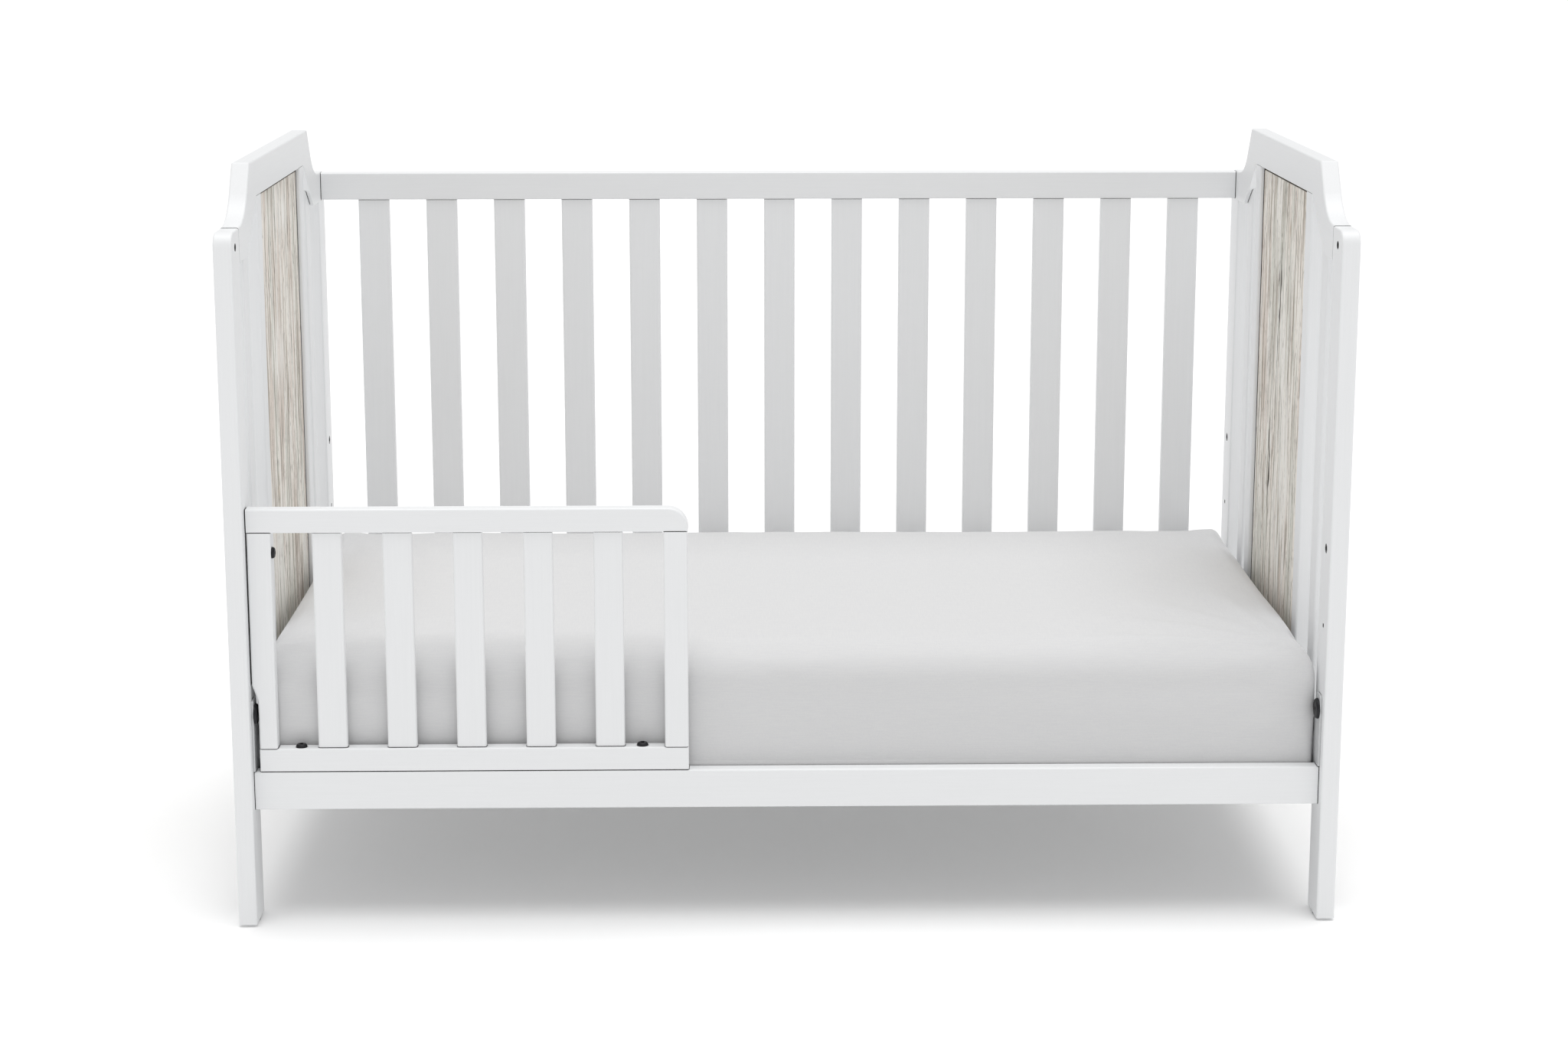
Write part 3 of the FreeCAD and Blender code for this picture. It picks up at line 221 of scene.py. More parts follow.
def makeSteel(name):
    p = steel[name]
    material, tree, shader = newMaterial(name, p["roughness"])
    shader.inputs["Metallic"].default_value = p["metallic"]
    place = addNode(tree, "TexCoord").outputs["Object"]
    cloud = addNode(tree, "TexNoise", (), {"Vector": place, "Scale": 1 / p["cloud"], "Detail": 3.0})
    colour = addNode(tree, "Mix", {"data_type": "RGBA"},
                     {0: cloud.outputs[0], 6: fromHex(p["colour"]), 7: fromHex(p["patch"])})
    tree.links.new(colour.outputs[2], shader.inputs["Base Color"])
    rough = addNode(tree, "MapRange", (), {"Value": cloud.outputs[0], 1: noiseLow, 2: noiseHigh,
                                           3: p["roughness"] - steelSmoother, 4: p["roughness"] + steelRougher})
    tree.links.new(rough.outputs[0], shader.inputs["Roughness"])
    bump = addNode(tree, "Bump", (), {"Height": cloud.outputs[0], "Strength": 0.4, "Distance": p["depth"]})
    tree.links.new(bump.outputs[0], shader.inputs["Normal"])
    return material


# moulded polyethylene glides: matt black with the fine grain of the mould
glidePlastic = {"colour": "1B1B1C", "roughness": 0.55, "grain": 0.8 * mm, "depth": 0.03 * mm}


def makeGlidePlastic():
    p = glidePlastic
    material, tree, shader = newMaterial("mouldedPolyethylene", p["roughness"])
    shader.inputs["Base Color"].default_value = fromHex(p["colour"])
    place = addNode(tree, "TexCoord").outputs["Object"]
    grain = addNode(tree, "TexNoise", (), {"Vector": place, "Scale": 1 / p["grain"], "Detail": 2.0})
    bump = addNode(tree, "Bump", (), {"Height": grain.outputs[0], "Strength": 0.5, "Distance": p["depth"]})
    tree.links.new(bump.outputs[0], shader.inputs["Normal"])
    return material


# combed cotton percale, plain weave in undyed light grey: matt with a soft bloom at grazing angles;
# threads are 0.25 mm apart, drawn as slubs 1.3 mm wide because the real ones are too fine to show
percale = {
    "colour": "D6D6D6", "slub": "D2D2D3", "roughness": 0.88, "sheen": 0.12,
    "threadWidth": 1.3 * mm, "threadLength": 22 * mm, "depth": 0.03 * mm,
}
# quilted polyester ticking of the mattress: close twill, white, twill lines 2 mm apart so that they show
ticking = {
    "colour": "DEDEDC", "slub": "CBCCCE", "roughness": 0.8, "sheen": 0.1,
    "threadWidth": 2.0 * mm, "threadLength": 16 * mm, "depth": 0.12 * mm,
}
cloth = {"sheenRoughness": 0.5, "specular": 0.2, "weaveLow": 0.75, "weaveHigh": 1.25}  # the same for both


def makeWoven(name, p):
    material, tree, shader = newMaterial(name, p["roughness"])
    shader.inputs["Sheen Weight"].default_value = p["sheen"]
    shader.inputs["Sheen Roughness"].default_value = cloth["sheenRoughness"]
    shader.inputs["Specular IOR Level"].default_value = cloth["specular"]
    place = addNode(tree, "TexCoord").outputs["Object"]
    threads = []
    for axis in "xy":  # warp and weft; on an upright side only the one that runs along it shows as threads
        stretched = addNode(tree, "Mapping", (), {
            "Vector": place, "Scale": along(axis, p["threadLength"], p["threadWidth"])})
        threads.append(addNode(tree, "TexNoise", (), {"Vector": stretched.outputs[0], "Scale": 1.0,
                                                      "Detail": 2.0, "Roughness": 0.5}).outputs[0])
    weave = addNode(tree, "Math", {"operation": "ADD"}, {0: threads[0], 1: threads[1]})
    share = addNode(tree, "MapRange", (), {"Value": weave.outputs[0], 1: cloth["weaveLow"], 2: cloth["weaveHigh"],
                                           3: 0.0, 4: 1.0})
    colour = addNode(tree, "Mix", {"data_type": "RGBA"},
                     {0: share.outputs[0], 6: fromHex(p["slub"]), 7: fromHex(p["colour"])})
    tree.links.new(colour.outputs[2], shader.inputs["Base Color"])
    bump = addNode(tree, "Bump", (), {"Height": weave.outputs[0], "Strength": 0.5, "Distance": p["depth"]})
    tree.links.new(bump.outputs[0], shader.inputs["Normal"])
    return material


paintAlong = {axis: makeLacquer(axis) for axis in "xyz"}
barnWood = makePine()
shadedBore = makeBoreShade()
hardware = {name: makeSteel(name) for name in steel}
polyethylene = makeGlidePlastic()
sheetCotton = makeWoven("cottonPercale", percale)
coverTwill = makeWoven("polyesterTicking", ticking)
print("materials made")

# finishes of the carried-over parts: the first word that a part's name holds decides
finishes = [
    ("panel_bolts", hardware["blackOxide"]), ("hanger_bolts", hardware["blackOxide"]),
    ("guard_bolts", hardware["blackOxide"]), ("guard_side_bolt", hardware["blackOxide"]),
    ("guard_washer", hardware["blackOxide"]), ("threaded_inserts", hardware["blackOxide"]),
    ("barrel_nuts", hardware["zincPlate"]), ("floor_glides", polyethylene),
    ("hangers", hardware["lightPlate"]), ("angle", hardware["powderCoat"]), ("support_wires", hardware["drawnWire"]),
    ("guard_top_rail", paintAlong["x"]), ("guard_bottom_rail", paintAlong["x"]),
    ("back_top_rail", paintAlong["x"]), ("back_bottom_rail", paintAlong["x"]),
    ("front_lower_rail", paintAlong["x"]), ("crest_rail", paintAlong["y"]), ("bottom_rail", paintAlong["y"]),
    ("post", paintAlong["z"]), ("stile", paintAlong["z"]), ("slat", paintAlong["z"]),
]
for nodeName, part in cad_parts.items():
    finish = next((material for word, material in finishes if word in nodeName), None)
    if finish:
        part.data.materials.clear()
        part.data.materials.append(finish)

# a face that lies close around the axis of a cross hole in a post is that hole's wall, painted with the hole's
# near-black shade
holes = {"line": 355.5 * mm, "heights": [217 * mm, 273 * mm, 381 * mm, 480 * mm, 860 * mm],
         "reach": 6.2 * mm, "skin": 0.5 * mm}
for nodeName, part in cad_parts.items():
    if not nodeName.endswith("_post"):
        continue
    part.data.materials.append(shadedBore)
    low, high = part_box(nodeName)
    for polygon in part.data.polygons:
        spot = part.matrix_world @ polygon.center
        inside = low.x + holes["skin"] < spot.x < high.x - holes["skin"]
        near = min(math.hypot(abs(spot.y) - holes["line"], spot.z - height) for height in holes["heights"])
        if inside and near < holes["reach"]:
            polygon.material_index = 1


def meshPiece(name, points, faces, material, smooth=True):
    mesh = bpy.data.meshes.new(name)
    mesh.from_pydata(points, [], faces)
    mesh.materials.append(material)
    mesh.polygons.foreach_set("use_smooth", [smooth] * len(mesh.polygons))
    mesh.update()
    piece = bpy.data.objects.new(name, mesh)
    scene.collection.objects.link(piece)
    return piece


# rustic panels: brushed boards with real relief on both faces, flat where the frame's groove holds them
boards = {
    # steps of the mesh, and the flat lip in the groove
    "across": 1.3 * mm, "upward": 4 * mm, "lipEnd": 5.6 * mm, "lipFade": 3.5 * mm,
    "margin": 20 * mm, "warp": 26 * mm, "brushed": 0.8 * mm, "fineShare": 0.4, "wave": 0.5 * mm,
    "knotStretch": 2.2, "knotReach": 1.6, "knotPush": 0.7, "knotEdge": 1.25, "knotTone": 0.35,
    "ringWidth": 1.9 * mm, "ringTone": 0.4,
    "splitDepth": 2.2 * mm, "splitWidth": 5 * mm, "tornWidth": 48 * mm, "thinnest": 0.1 * mm,
    "splitTaper": 2.2, "splitEdge": 1.3, "stray": 9 * mm, "jag": 3 * mm,
    "leastFibre": 0.2, "fibrePower": 1.5, "cleanDepth": 0.45, "cleanTone": 0.35, "raggedTone": 0.6,
    "wornReach": 1.6, "rubGain": 2.2, "rubStart": 0.7, "mostWorn": 0.85, "wornHides": 0.3,
    "seamRear": 8 * mm, "seamTop": 10 * mm, "seamFade": 1.6 * mm, "seamDepth": 1.5 * mm,
    "backSeed": 200,
}
# noises on the boards: width and length of a grain, and what is added to the panel's seed
grains = {
    "warp": (60 * mm, 260 * mm, 0), "fine": (3 * mm, 90 * mm, 1), "broad": (8 * mm, 180 * mm, 2),
    "wave": (24 * mm, 300 * mm, 3), "rub": (3.2 * mm, 60 * mm, 5), "stray": (45 * mm, 1.0, 20),
    "jag": (9 * mm, 1.0, 40), "edge": (5 * mm, 24 * mm, 60), "fibre": (4 * mm, 34 * mm, 80),
}
# each split: across and up as shares of the panel, length in metres, and how badly it is torn from 0 to 1;
# each knot: across, up and radius; each worn patch: across, up and its spread both ways, all as shares
panelMarks = {
    "left": {"seed": 11,
             "splits": [(0.38, 0.16, 0.30, 0.35), (0.30, 0.46, 0.12, 0.3), (0.62, 0.55, 0.16, 0.15),
                        (0.25, 0.80, 0.10, 0.1)],
             "knots": [(0.30, 0.42, 13 * mm), (0.72, 0.80, 11 * mm)],
             "worn": [(0.37, 0.67, 0.10, 0.07), (0.55, 0.93, 0.16, 0.05), (0.24, 0.30, 0.08, 0.14)]},
    "right": {"seed": 23,
              "splits": [(0.567, 0.752, 0.18, 1.0), (0.60, 0.60, 0.26, 0.3), (0.70, 0.43, 0.15, 0.7),
                         (0.80, 0.30, 0.22, 0.2), (0.30, 0.25, 0.2, 0.2)],
              "knots": [(0.40, 0.90, 13 * mm), (0.55, 0.14, 12 * mm)],
              "worn": [(0.50, 0.70, 0.08, 0.14), (0.42, 0.40, 0.10, 0.24)]},
}


def grainField(name, u, v, seed):  # smooth noise from 0 to 1
    width, length, draw = grains[name]
    lattice = numpy.random.default_rng(seed + draw).random((int(u.max() / width) + 3, int(v.max() / length) + 3))
    i, j = numpy.floor(u / width).astype(int), numpy.floor(v / length).astype(int)
    a, b = u / width - i, v / length - j
    a, b = a * a * (3 - 2 * a), b * b * (3 - 2 * b)
    low = lattice[i, j] * (1 - a) + lattice[i + 1, j] * a
    high = lattice[i, j + 1] * (1 - a) + lattice[i + 1, j + 1] * a
    return low * (1 - b) + high * b


# depth below the face in metres, and the shares of torn, worn and knot at each point; the torn share also carries
# the painted shade of the seam strip
def boardFace(u, v, wide, high, marks, seed):
    p = boards
    grainU = u + p["margin"] + (grainField("warp", u, v, seed) - 0.5) * p["warp"]
    knot = numpy.zeros_like(u)
    for across, up, radius in marks["knots"]:
        du, dv = u - across * wide, (v - up * high) / p["knotStretch"]
        far = numpy.hypot(du, dv)
        push = numpy.exp(-(far / (radius * p["knotReach"])) ** 2)
        grainU = grainU + numpy.sign(du) * push * radius * p["knotPush"]
        rings = 0.5 + 0.5 * numpy.cos(far / p["ringWidth"])
        heart = numpy.clip(p["knotEdge"] - far / radius, 0, 1)
        knot = numpy.maximum(knot, heart * (p["knotTone"] + p["ringTone"] * rings))
    grainU = numpy.clip(grainU, 0, None)
    fine, broad = grainField("fine", grainU, v, seed), grainField("broad", grainU, v, seed)
    brushed = p["fineShare"] * fine + (1 - p["fineShare"]) * broad
    depth = p["brushed"] * brushed + p["wave"] * grainField("wave", grainU, v, seed)
    torn = numpy.zeros_like(u)
    for number, (across, up, long, ragged) in enumerate(marks["splits"], start=seed):
        local = (v - up * high) / long + 0.5
        path = across * wide + (grainField("stray", v, v, number) - 0.5) * p["stray"]
        path = path + (grainField("jag", v, v, number) - 0.5) * p["jag"] * ragged
        taper = numpy.clip(1 - numpy.abs(2 * local - 1) ** p["splitTaper"], 0, 1)
        edge = grainField("edge", u + p["margin"], v, number)
        half = (p["splitWidth"] / 2 + p["tornWidth"] / 2 * ragged * edge ** 2) * taper
        inside = numpy.clip(p["splitEdge"] - numpy.abs(u - path) / numpy.maximum(half, p["thinnest"]), 0, 1)
        inside = inside * (taper > 0)
        fibres = p["leastFibre"] + (1 - p["leastFibre"]) * grainField("fibre", u + p["margin"], v, number)
        depth = depth + p["splitDepth"] * inside * fibres * (p["cleanDepth"] + (1 - p["cleanDepth"]) * ragged)
        tone = p["cleanTone"] + p["raggedTone"] * ragged
        torn = numpy.maximum(torn, inside * fibres ** p["fibrePower"] * tone)
    worn = numpy.zeros_like(u)
    rub = grainField("rub", grainU, v, seed) * p["rubGain"] - p["rubStart"]
    for across, up, spreadU, spreadV in marks["worn"]:
        offU = (u - across * wide) / (spreadU * wide * p["wornReach"])
        offV = (v - up * high) / (spreadV * high)
        worn = numpy.maximum(worn, numpy.clip(numpy.exp(-offU ** 2 - offV ** 2) * rub, 0, p["mostWorn"]))
    lip = numpy.minimum(numpy.minimum(u, wide - u), numpy.minimum(v, high - v))
    held = numpy.clip((lip - p["lipEnd"]) / p["lipFade"], 0, 1)
    # the wood has shrunk from the frame along its rear and top edges, which leaves a recessed seam that is painted
    # dark as shade through the torn share
    into = numpy.minimum(wide - u - p["seamRear"], high - v - p["seamTop"])
    shadedSeam = numpy.clip(-into / p["seamFade"], 0, 1)
    depth = numpy.maximum(depth * held, p["seamDepth"] * shadedSeam)
    return depth, numpy.maximum(torn * held * (1 - p["wornHides"] * worn), shadedSeam), worn * (1 - torn), knot


def rusticPanel(side):
    node = side + "_wood_panel"
    low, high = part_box(node)
    wide, tall = high.y - low.y, high.z - low.z
    columns, rows = round(wide / boards["across"]), round(tall / boards["upward"])
    u, v = numpy.meshgrid(numpy.linspace(0, wide, columns + 1), numpy.linspace(0, tall, rows + 1), indexing="ij")
    marks = panelMarks[side]
    points, shares, faces = [], {"torn": [], "worn": [], "knot": []}, []
    count = (columns + 1) * (rows + 1)
    inward = 1 if side == "left" else -1  # the face that looks into the bed shows the marks as listed
    for number, (x, sign) in enumerate(((high.x, 1), (low.x, -1))):
        seed = marks["seed"] + (0 if sign == inward else boards["backSeed"])
        depth, torn, worn, knot = boardFace(u, v, wide, tall, marks, seed)
        points += numpy.stack([x - sign * depth, low.y + u, low.z + v], -1).reshape(-1, 3).tolist()
        for name, share in (("torn", torn), ("worn", worn), ("knot", knot)):
            shares[name] += share.reshape(-1).tolist()
        base = number * count
        for i in range(columns):
            for j in range(rows):
                a = base + i * (rows + 1) + j
                quad = (a, a + rows + 1, a + rows + 2, a + 1)
                faces.append(quad if sign > 0 else quad[::-1])
    rim = [i * (rows + 1) for i in range(columns + 1)]
    rim += [columns * (rows + 1) + j for j in range(1, rows + 1)]
    rim += [i * (rows + 1) + rows for i in range(columns - 1, -1, -1)]
    rim += list(range(rows - 1, 0, -1))
    for a, b in zip(rim, rim[1:] + rim[:1]):
        faces.append((b, a, a + count, b + count))
    piece = meshPiece(side + "RusticPanel", points, faces, barnWood)
    for name, values in shares.items():
        piece.data.attributes.new(name, "FLOAT", "POINT").data.foreach_set("value", values)
    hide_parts(node)
    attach(piece, "bed_frame")


for sideName in panelMarks:
    rusticPanel(sideName)
print("rustic panels made")

# tension springs: close coils of drawn wire with a loop at each end, one in each spring's place
coil = {"wire": 1.4 * mm, "turns": 8, "pointsPerTurn": 14, "loop": 0.2, "loopCurl": 0.6, "even": 0.55}


def islandBoxes(part):  # low and high corner of each loose piece of a mesh
    bm = bmesh.new()
    bm.from_mesh(part.data)
    bmesh.ops.remove_doubles(bm, verts=bm.verts, dist=0.01 * mm)
    left, boxes = set(bm.verts), []
    while left:
        front, island = [left.pop()], []
        while front:
            vert = front.pop()
            island.append(vert.co.copy())
            for edge in vert.link_edges:
                other = edge.other_vert(vert)
                if other in left:
                    left.remove(other)
                    front.append(other)
        boxes.append((Vector(map(min, *island)), Vector(map(max, *island))))
    bm.free()
    return sorted(boxes, key=lambda box: tuple(box[0]))


def springCoils():
    curve = bpy.data.curves.new("supportSprings", "CURVE")
    curve.dimensions = "3D"
    curve.bevel_depth = coil["wire"] / 2
    curve.bevel_resolution = 2
    curve.use_fill_caps = True
    for low, high in islandBoxes(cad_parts["support_springs"]):
        size = high - low
        axis = max(range(3), key=lambda number: size[number])
        first, second = (axis + 1) % 3, (axis + 2) % 3
        middle = (low + high) / 2
        radius = (size[first] - coil["wire"]) / 2
        steps = coil["turns"] * coil["pointsPerTurn"]
        line = curve.splines.new("POLY")
        line.points.add(steps)
        for number in range(steps + 1):
            share = number / steps
            turn = 2 * math.pi * coil["turns"] * share
            near = min(share, 1 - share) / coil["loop"]
            reach = radius * min(1, near) ** coil["loopCurl"]
            spot = Vector(middle)
            # the loops stretch out at both ends, the coils lie close in the middle
            lead = share - 0.5
            spot[axis] += (size[axis] - coil["wire"]) * (coil["even"] * lead + (1 - coil["even"]) * 4 * lead ** 3)
            spot[first] += reach * math.cos(turn)
            spot[second] += reach * math.sin(turn)
            line.points[number].co = (*spot, 1)
    piece = bpy.data.objects.new("supportSprings", curve)
    curve.materials.append(hardware["drawnWire"])
    scene.collection.objects.link(piece)
    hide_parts("support_springs")
    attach(piece, "bed_frame")


springCoils()
print("spring coils made")

# foam mattress: crowned, its sides pull in a little between the corners, flat where it lies on the wires
foam = {
    # radii of the edges across x, y and z; powers of the rounding, 2 for a circle and more for a squarer one
    "edge": (28 * mm, 45 * mm, 40 * mm), "underEdge": 8 * mm, "round": 2.0, "corner": 12.0, "square": 8.0,
    "step": 15 * mm, "roundSteps": 4, "weld": 0.3 * mm, "slack": 1 * mm,
    # the top and the sides begin at these shares of the half size; powers say how late their bulge fades
    "topFrom": 0.5, "sideFrom": 0.9, "crown": 2 * mm, "crownPower": 4, "hollow": 1 * mm, "hollowPower": (6, 4),
    "frames": 14, "swell": 4 * mm, "still": 60 * mm,
    "cloth": {"use_pressure": True, "uniform_pressure_force": 2.0, "quality": 5, "mass": 0.4,
              "tension_stiffness": 40, "compression_stiffness": 40, "bending_stiffness": 8},
}
# fitted sheet: covers top and sides and turns under; drag folds run in from the corners that hold it
fitted = {
    "cover": 1.2 * mm, "thick": 0.7 * mm, "hem": 90 * mm, "room": (2 * mm, 1 * mm, 6 * mm), "underFrom": 0.9,
    "foldHeight": 4.5 * mm, "foldReach": 330 * mm, "foldCount": 15, "foldInset": 30 * mm, "foldStart": 1 * mm,
    "foldFade": 1.2, "foldSharp": 1.5, "foldPhase": (0.7, 1.3), "elsewhere": 0.35, "foldFrom": 0.3,
    "frames": 16, "pull": 5 * mm, "sink": 0.3 * mm, "follow": 0.5,
    "cloth": {"quality": 4, "mass": 0.15, "tension_stiffness": 12, "compression_stiffness": 6,
              "bending_stiffness": 0.6, "shrink_min": -0.006},
}


def runCloth(piece, p):  # where the piece's points come to rest
    solver = piece.modifiers.new("cloth", "CLOTH")
    for name, value in p["cloth"].items():
        setattr(solver.settings, name, value)
    solver.settings.effector_weights.gravity = 0.0
    solver.collision_settings.use_collision = False
    for number in range(1, p["frames"] + 1):
        scene.frame_set(number)
    shown = piece.evaluated_get(bpy.context.evaluated_depsgraph_get())
    relaxed = [vert.co.copy() for vert in shown.data.vertices]
    piece.modifiers.remove(solver)
    scene.frame_set(1)
    return relaxed


# places of a grid's lines between two ends, close together in the rounded zones beside the ends
def gridLines(low, high, lowRound, highRound, p):
    steps = p["roundSteps"]
    straight = high - low - lowRound - highRound
    count = max(2, round(straight / p["step"]))
    lines = [low + lowRound * number / steps for number in range(steps)]
    lines += [low + lowRound + straight * number / count for number in range(count + 1)]
    return lines + [high - highRound * number / steps for number in reversed(range(steps))]


# a box whose top edges are round, whose upright corners are tight and whose bottom edges are nearly square
def roundedSlab(name, low, high, p, material):
    middle, half = (low + high) / 2, (high - low) / 2
    upper, lower = p["edge"], (p["edge"][0], p["edge"][1], p["underEdge"])
    lines = [gridLines(-half[axis], half[axis], lower[axis], upper[axis], p) for axis in range(3)]
    bm = bmesh.new()
    for axis in range(3):
        across, up = (axis + 1) % 3, (axis + 2) % 3
        for sign in (-1, 1):
            grid = []
            for first in lines[across]:
                for second in lines[up]:
                    spot = Vector((0, 0, 0))
                    spot[axis], spot[across], spot[up] = sign * half[axis], first, second
                    grid.append(bm.verts.new(spot))
            rows = len(lines[up])
            for i in range(len(lines[across]) - 1):
                for j in range(rows - 1):
                    a = i * rows + j
                    quad = [grid[a], grid[a + rows], grid[a + rows + 1], grid[a + 1]]
                    bm.faces.new(quad if sign > 0 else quad[::-1])
    bmesh.ops.remove_doubles(bm, verts=bm.verts, dist=p["weld"])
    for vert in bm.verts:
        rounds = upper if vert.co.z > 0 else lower
        into = [max(0.0, abs(vert.co[axis]) - (half[axis] - rounds[axis])) / rounds[axis] for axis in range(3)]
        level = (into[0] ** p["corner"] + into[1] ** p["corner"]) ** (1 / p["corner"])
        power = p["round"] if vert.co.z > 0 else p["square"]
        reach = (level ** power + into[2] ** power) ** (1 / power)
        for axis in range(3):
            if into[axis] > 0 and reach > 0:
                far = half[axis] - rounds[axis] + rounds[axis] * into[axis] / reach
                vert.co[axis] = math.copysign(far, vert.co[axis])
        vert.co += middle
    mesh = bpy.data.meshes.new(name)
    bm.to_mesh(mesh)
    bm.free()
    mesh.materials.append(material)
    mesh.polygons.foreach_set("use_smooth", [True] * len(mesh.polygons))
    piece = bpy.data.objects.new(name, mesh)
    scene.collection.objects.link(piece)
    return piece


def makeMattress():
    p = foam
    low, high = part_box("mattress")
    inset = Vector((0, 0, p["slack"]))
    piece = roundedSlab("foamMattress", low + inset, high - inset, p, coverTwill)
    start = [vert.co.copy() for vert in piece.data.vertices]
    middle, half = (low + high) / 2, (high - low) / 2
    for vert, first, last in zip(piece.data.vertices, start, runCloth(piece, p)):
        move = (last - first) * min(1.0, (first.z - low.z) / p["still"])
        if move.length > p["swell"]:
            move *= p["swell"] / move.length
        spot = first + move
        share = [(spot[axis] - middle[axis]) / half[axis] for axis in range(3)]
        dome = max(0, 1 - share[0] ** p["crownPower"]) * max(0, 1 - share[1] ** p["crownPower"])
        if share[2] > p["topFrom"]:
            spot.z += p["crown"] * (dome - 0.5)
        level = max(0, 1 - share[2] ** 2)
        for axis, other in ((0, 1), (1, 0)):
            if abs(share[axis]) > p["sideFrom"]:
                bow = level * max(0, 1 - share[other] ** p["hollowPower"][other])
                spot[axis] -= math.copysign(p["hollow"] * bow, share[axis])
        vert.co = [min(max(spot[axis], low[axis]), high[axis]) for axis in range(3)]
    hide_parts("mattress")
    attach(piece, "loose_mattress")
    return piece


# height of the soft drag folds at a point of the sheet's top, fanning in from each corner
def foldHeight(spot, middle, half):
    p = fitted
    total = 0.0
    for signX in (-1, 1):
        for signY in (-1, 1):
            inward = spot.xy - middle.xy
            inward.x -= signX * (half.x - p["foldInset"])
            inward.y -= signY * (half.y - p["foldInset"])
            far = inward.length
            if far > p["foldReach"] or far < p["foldStart"]:
                continue
            angle = math.atan2(-signY * inward.y, -signX * inward.x)
            fade = math.sin(math.pi * far / p["foldReach"]) ** p["foldFade"]
            phase = p["foldPhase"][0] * signX + p["foldPhase"][1] * signY
            ridge = (0.5 + 0.5 * math.cos(p["foldCount"] * angle + phase)) ** p["foldSharp"]
            share = 1 if signX > 0 > signY else p["elsewhere"]  # strongest at the right front corner
            total += fade * ridge * share * p["foldHeight"]
    return total


def makeSheet(mattress):
    p = fitted
    mesh = mattress.data.copy()
    mesh.name = "fittedSheet"
    piece = bpy.data.objects.new("fittedSheet", mesh)
    scene.collection.objects.link(piece)
    mesh.materials.clear()
    mesh.materials.append(sheetCotton)
    low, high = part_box("fitted_sheet")
    middle, half = (low + high) / 2, (high - low) / 2
    bm = bmesh.new()
    bm.from_mesh(mesh)
    bm.normal_update()
    gone = []
    for face in bm.faces:
        off = face.calc_center_median() - middle
        if face.normal.z < -p["underFrom"] and abs(off.x) < half.x - p["hem"] and abs(off.y) < half.y - p["hem"]:
            gone.append(face)
    bmesh.ops.delete(bm, geom=gone, context="FACES")
    bmesh.ops.subdivide_edges(bm, edges=bm.edges, cuts=1, use_grid_fill=True, smooth=0.5)
    bm.normal_update()
    for vert in bm.verts:
        vert.co += vert.normal * p["cover"]
    bm.to_mesh(mesh)
    bm.free()
    mesh.polygons.foreach_set("use_smooth", [True] * len(mesh.polygons))
    start = [vert.co.copy() for vert in mesh.vertices]
    normals = [vert.normal.copy() for vert in mesh.vertices]
    room = Vector(p["room"])
    least, most = low - Vector((room.x, room.y, 0)), high + room
    for vert, first, last, normal in zip(mesh.vertices, start, runCloth(piece, p), normals):
        move = (last - first) * min(1.0, max(0.0, first.z - low.z) / foam["still"])
        lift = max(-p["sink"], min(p["pull"], move.dot(normal)))
        spot = first + (move - normal * move.dot(normal)) * p["follow"] + normal * lift * p["follow"]
        if normal.z > p["foldFrom"]:
            spot.z += foldHeight(spot, middle, half) * normal.z
        vert.co = [min(max(spot[axis], least[axis]), most[axis]) for axis in range(3)]
    thick = piece.modifiers.new("thick", "SOLIDIFY")
    thick.thickness = p["thick"]
    thick.offset = 0.0
    shown = piece.evaluated_get(bpy.context.evaluated_depsgraph_get())
    piece.data = bpy.data.meshes.new_from_object(shown)
    piece.modifiers.clear()
    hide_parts("fitted_sheet")
    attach(piece, "loose_mattress")


core = makeMattress()
print("mattress made")
makeSheet(core)
print("sheet made")

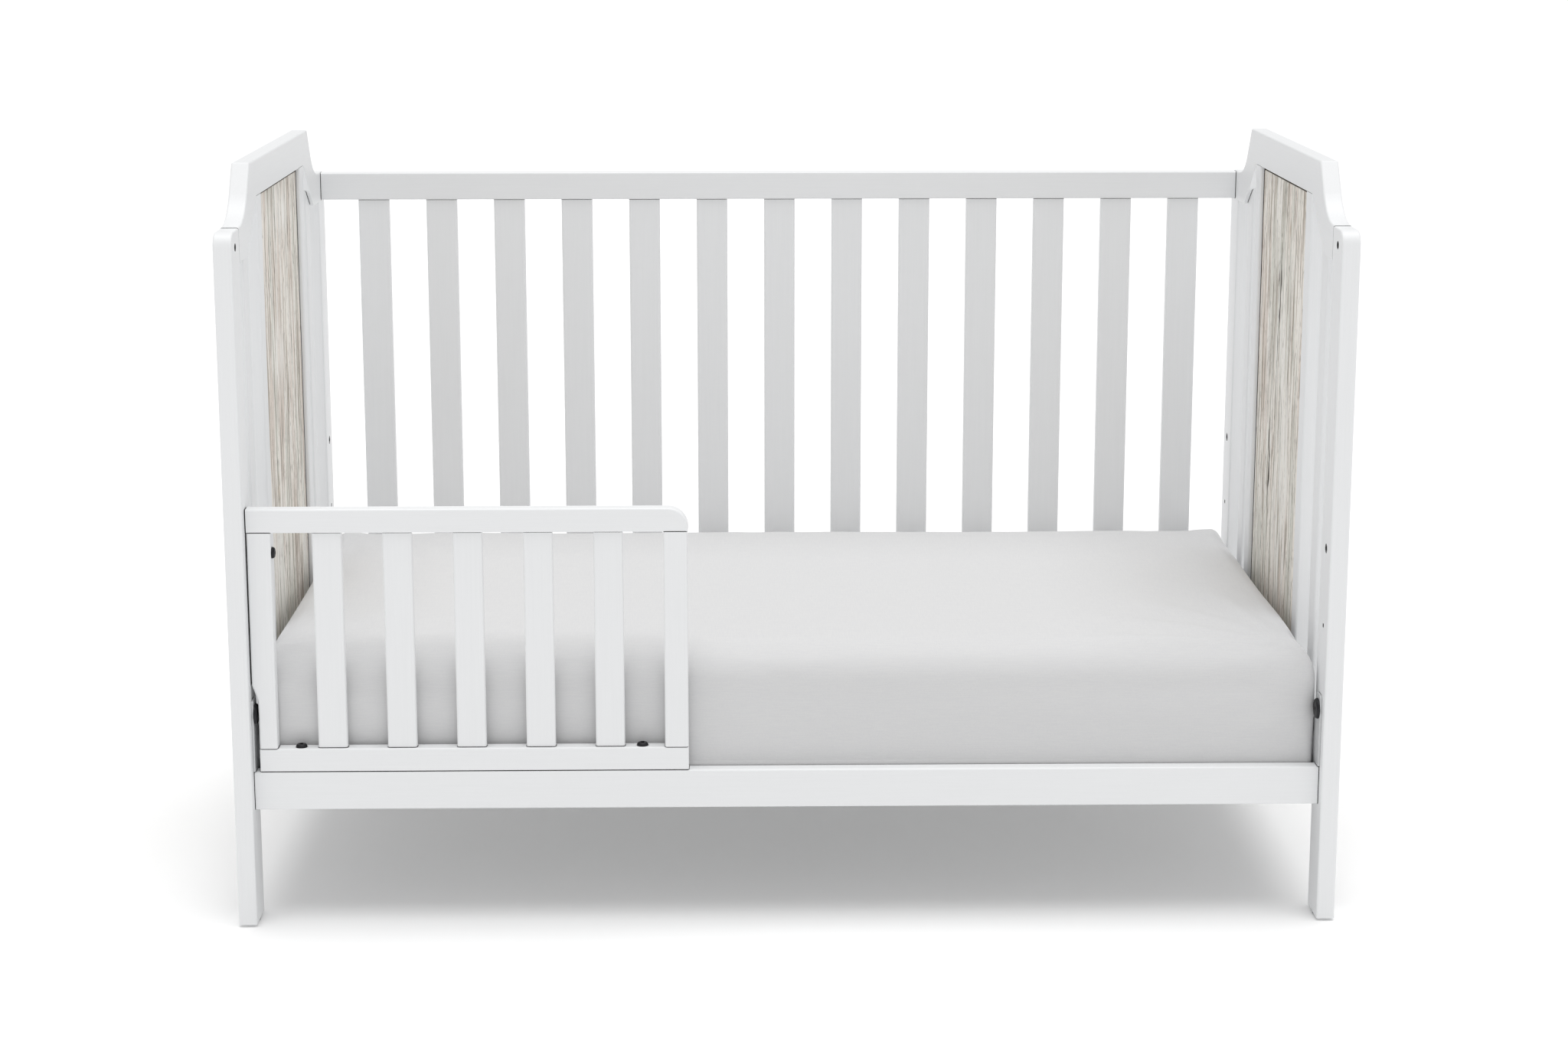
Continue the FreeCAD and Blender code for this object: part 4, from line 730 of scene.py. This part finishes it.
# studio: an endless pale floor that glows faintly, under even white light with a broad soft key nearly overhead
studio = {
    "floor": "F4F4F4", "floorPatch": "F0F0F0", "floorPatchSize": 2.5, "floorRoughness": 0.9, "floorGlow": 0.12,
    "floorHalf": 60.0, "sky": "FFFFFF", "skyStrength": 0.62,
    "keyStrength": 1.75, "keyAngle": 50.0, "keyFrom": (0.08, -0.06, 1.2),
    "camera": (-0.062, -3.699, 1.290), "pitch": 11.09, "yaw": 0.973, "lens": 63.58, "sensor": 36.0,
    "shift": (0.0, -0.06), "clip": (0.1, 200.0),
}


def makeFloor():
    material, tree, shader = newMaterial("mattePaper", studio["floorRoughness"])
    shader.inputs["Specular IOR Level"].default_value = 0.0
    place = addNode(tree, "TexCoord").outputs["Object"]
    tone = addNode(tree, "TexNoise", (), {"Vector": place, "Scale": 1 / studio["floorPatchSize"], "Detail": 2.0})
    colour = addNode(tree, "Mix", {"data_type": "RGBA"},
                     {0: tone.outputs[0], 6: fromHex(studio["floor"]), 7: fromHex(studio["floorPatch"])})
    tree.links.new(colour.outputs[2], shader.inputs["Base Color"])
    shader.inputs["Emission Color"].default_value = fromHex(studio["floor"])
    shader.inputs["Emission Strength"].default_value = studio["floorGlow"]
    far = studio["floorHalf"]
    floor = meshPiece("studioFloor", [(-far, -far, 0), (far, -far, 0), (far, far, 0), (-far, far, 0)],
                      [(0, 1, 2, 3)], material, smooth=False)


def makeLight():
    world = bpy.data.worlds.new("studioSky")
    scene.world = world
    world.use_nodes = True
    sky = world.node_tree.nodes["Background"]
    sky.inputs["Color"].default_value = fromHex(studio["sky"])
    sky.inputs["Strength"].default_value = studio["skyStrength"]
    sun = bpy.data.lights.new("softKey", "SUN")
    sun.energy = studio["keyStrength"]
    sun.angle = math.radians(studio["keyAngle"])
    key = bpy.data.objects.new("softKey", sun)
    key.rotation_mode = "QUATERNION"
    key.rotation_quaternion = Vector(studio["keyFrom"]).to_track_quat("Z", "Y")
    scene.collection.objects.link(key)
    scene.view_settings.view_transform = "Standard"


def makeCamera():
    data = bpy.data.cameras.new("camera")
    data.lens = studio["lens"]
    data.sensor_width = studio["sensor"]
    data.shift_x, data.shift_y = studio["shift"]
    data.clip_start, data.clip_end = studio["clip"]
    camera = bpy.data.objects.new("camera", data)
    camera.location = studio["camera"]
    camera.rotation_euler = (math.radians(90 - studio["pitch"]), 0.0, -math.radians(studio["yaw"]))
    scene.collection.objects.link(camera)
    scene.camera = camera


makeFloor()
makeLight()
makeCamera()
print("studio made")
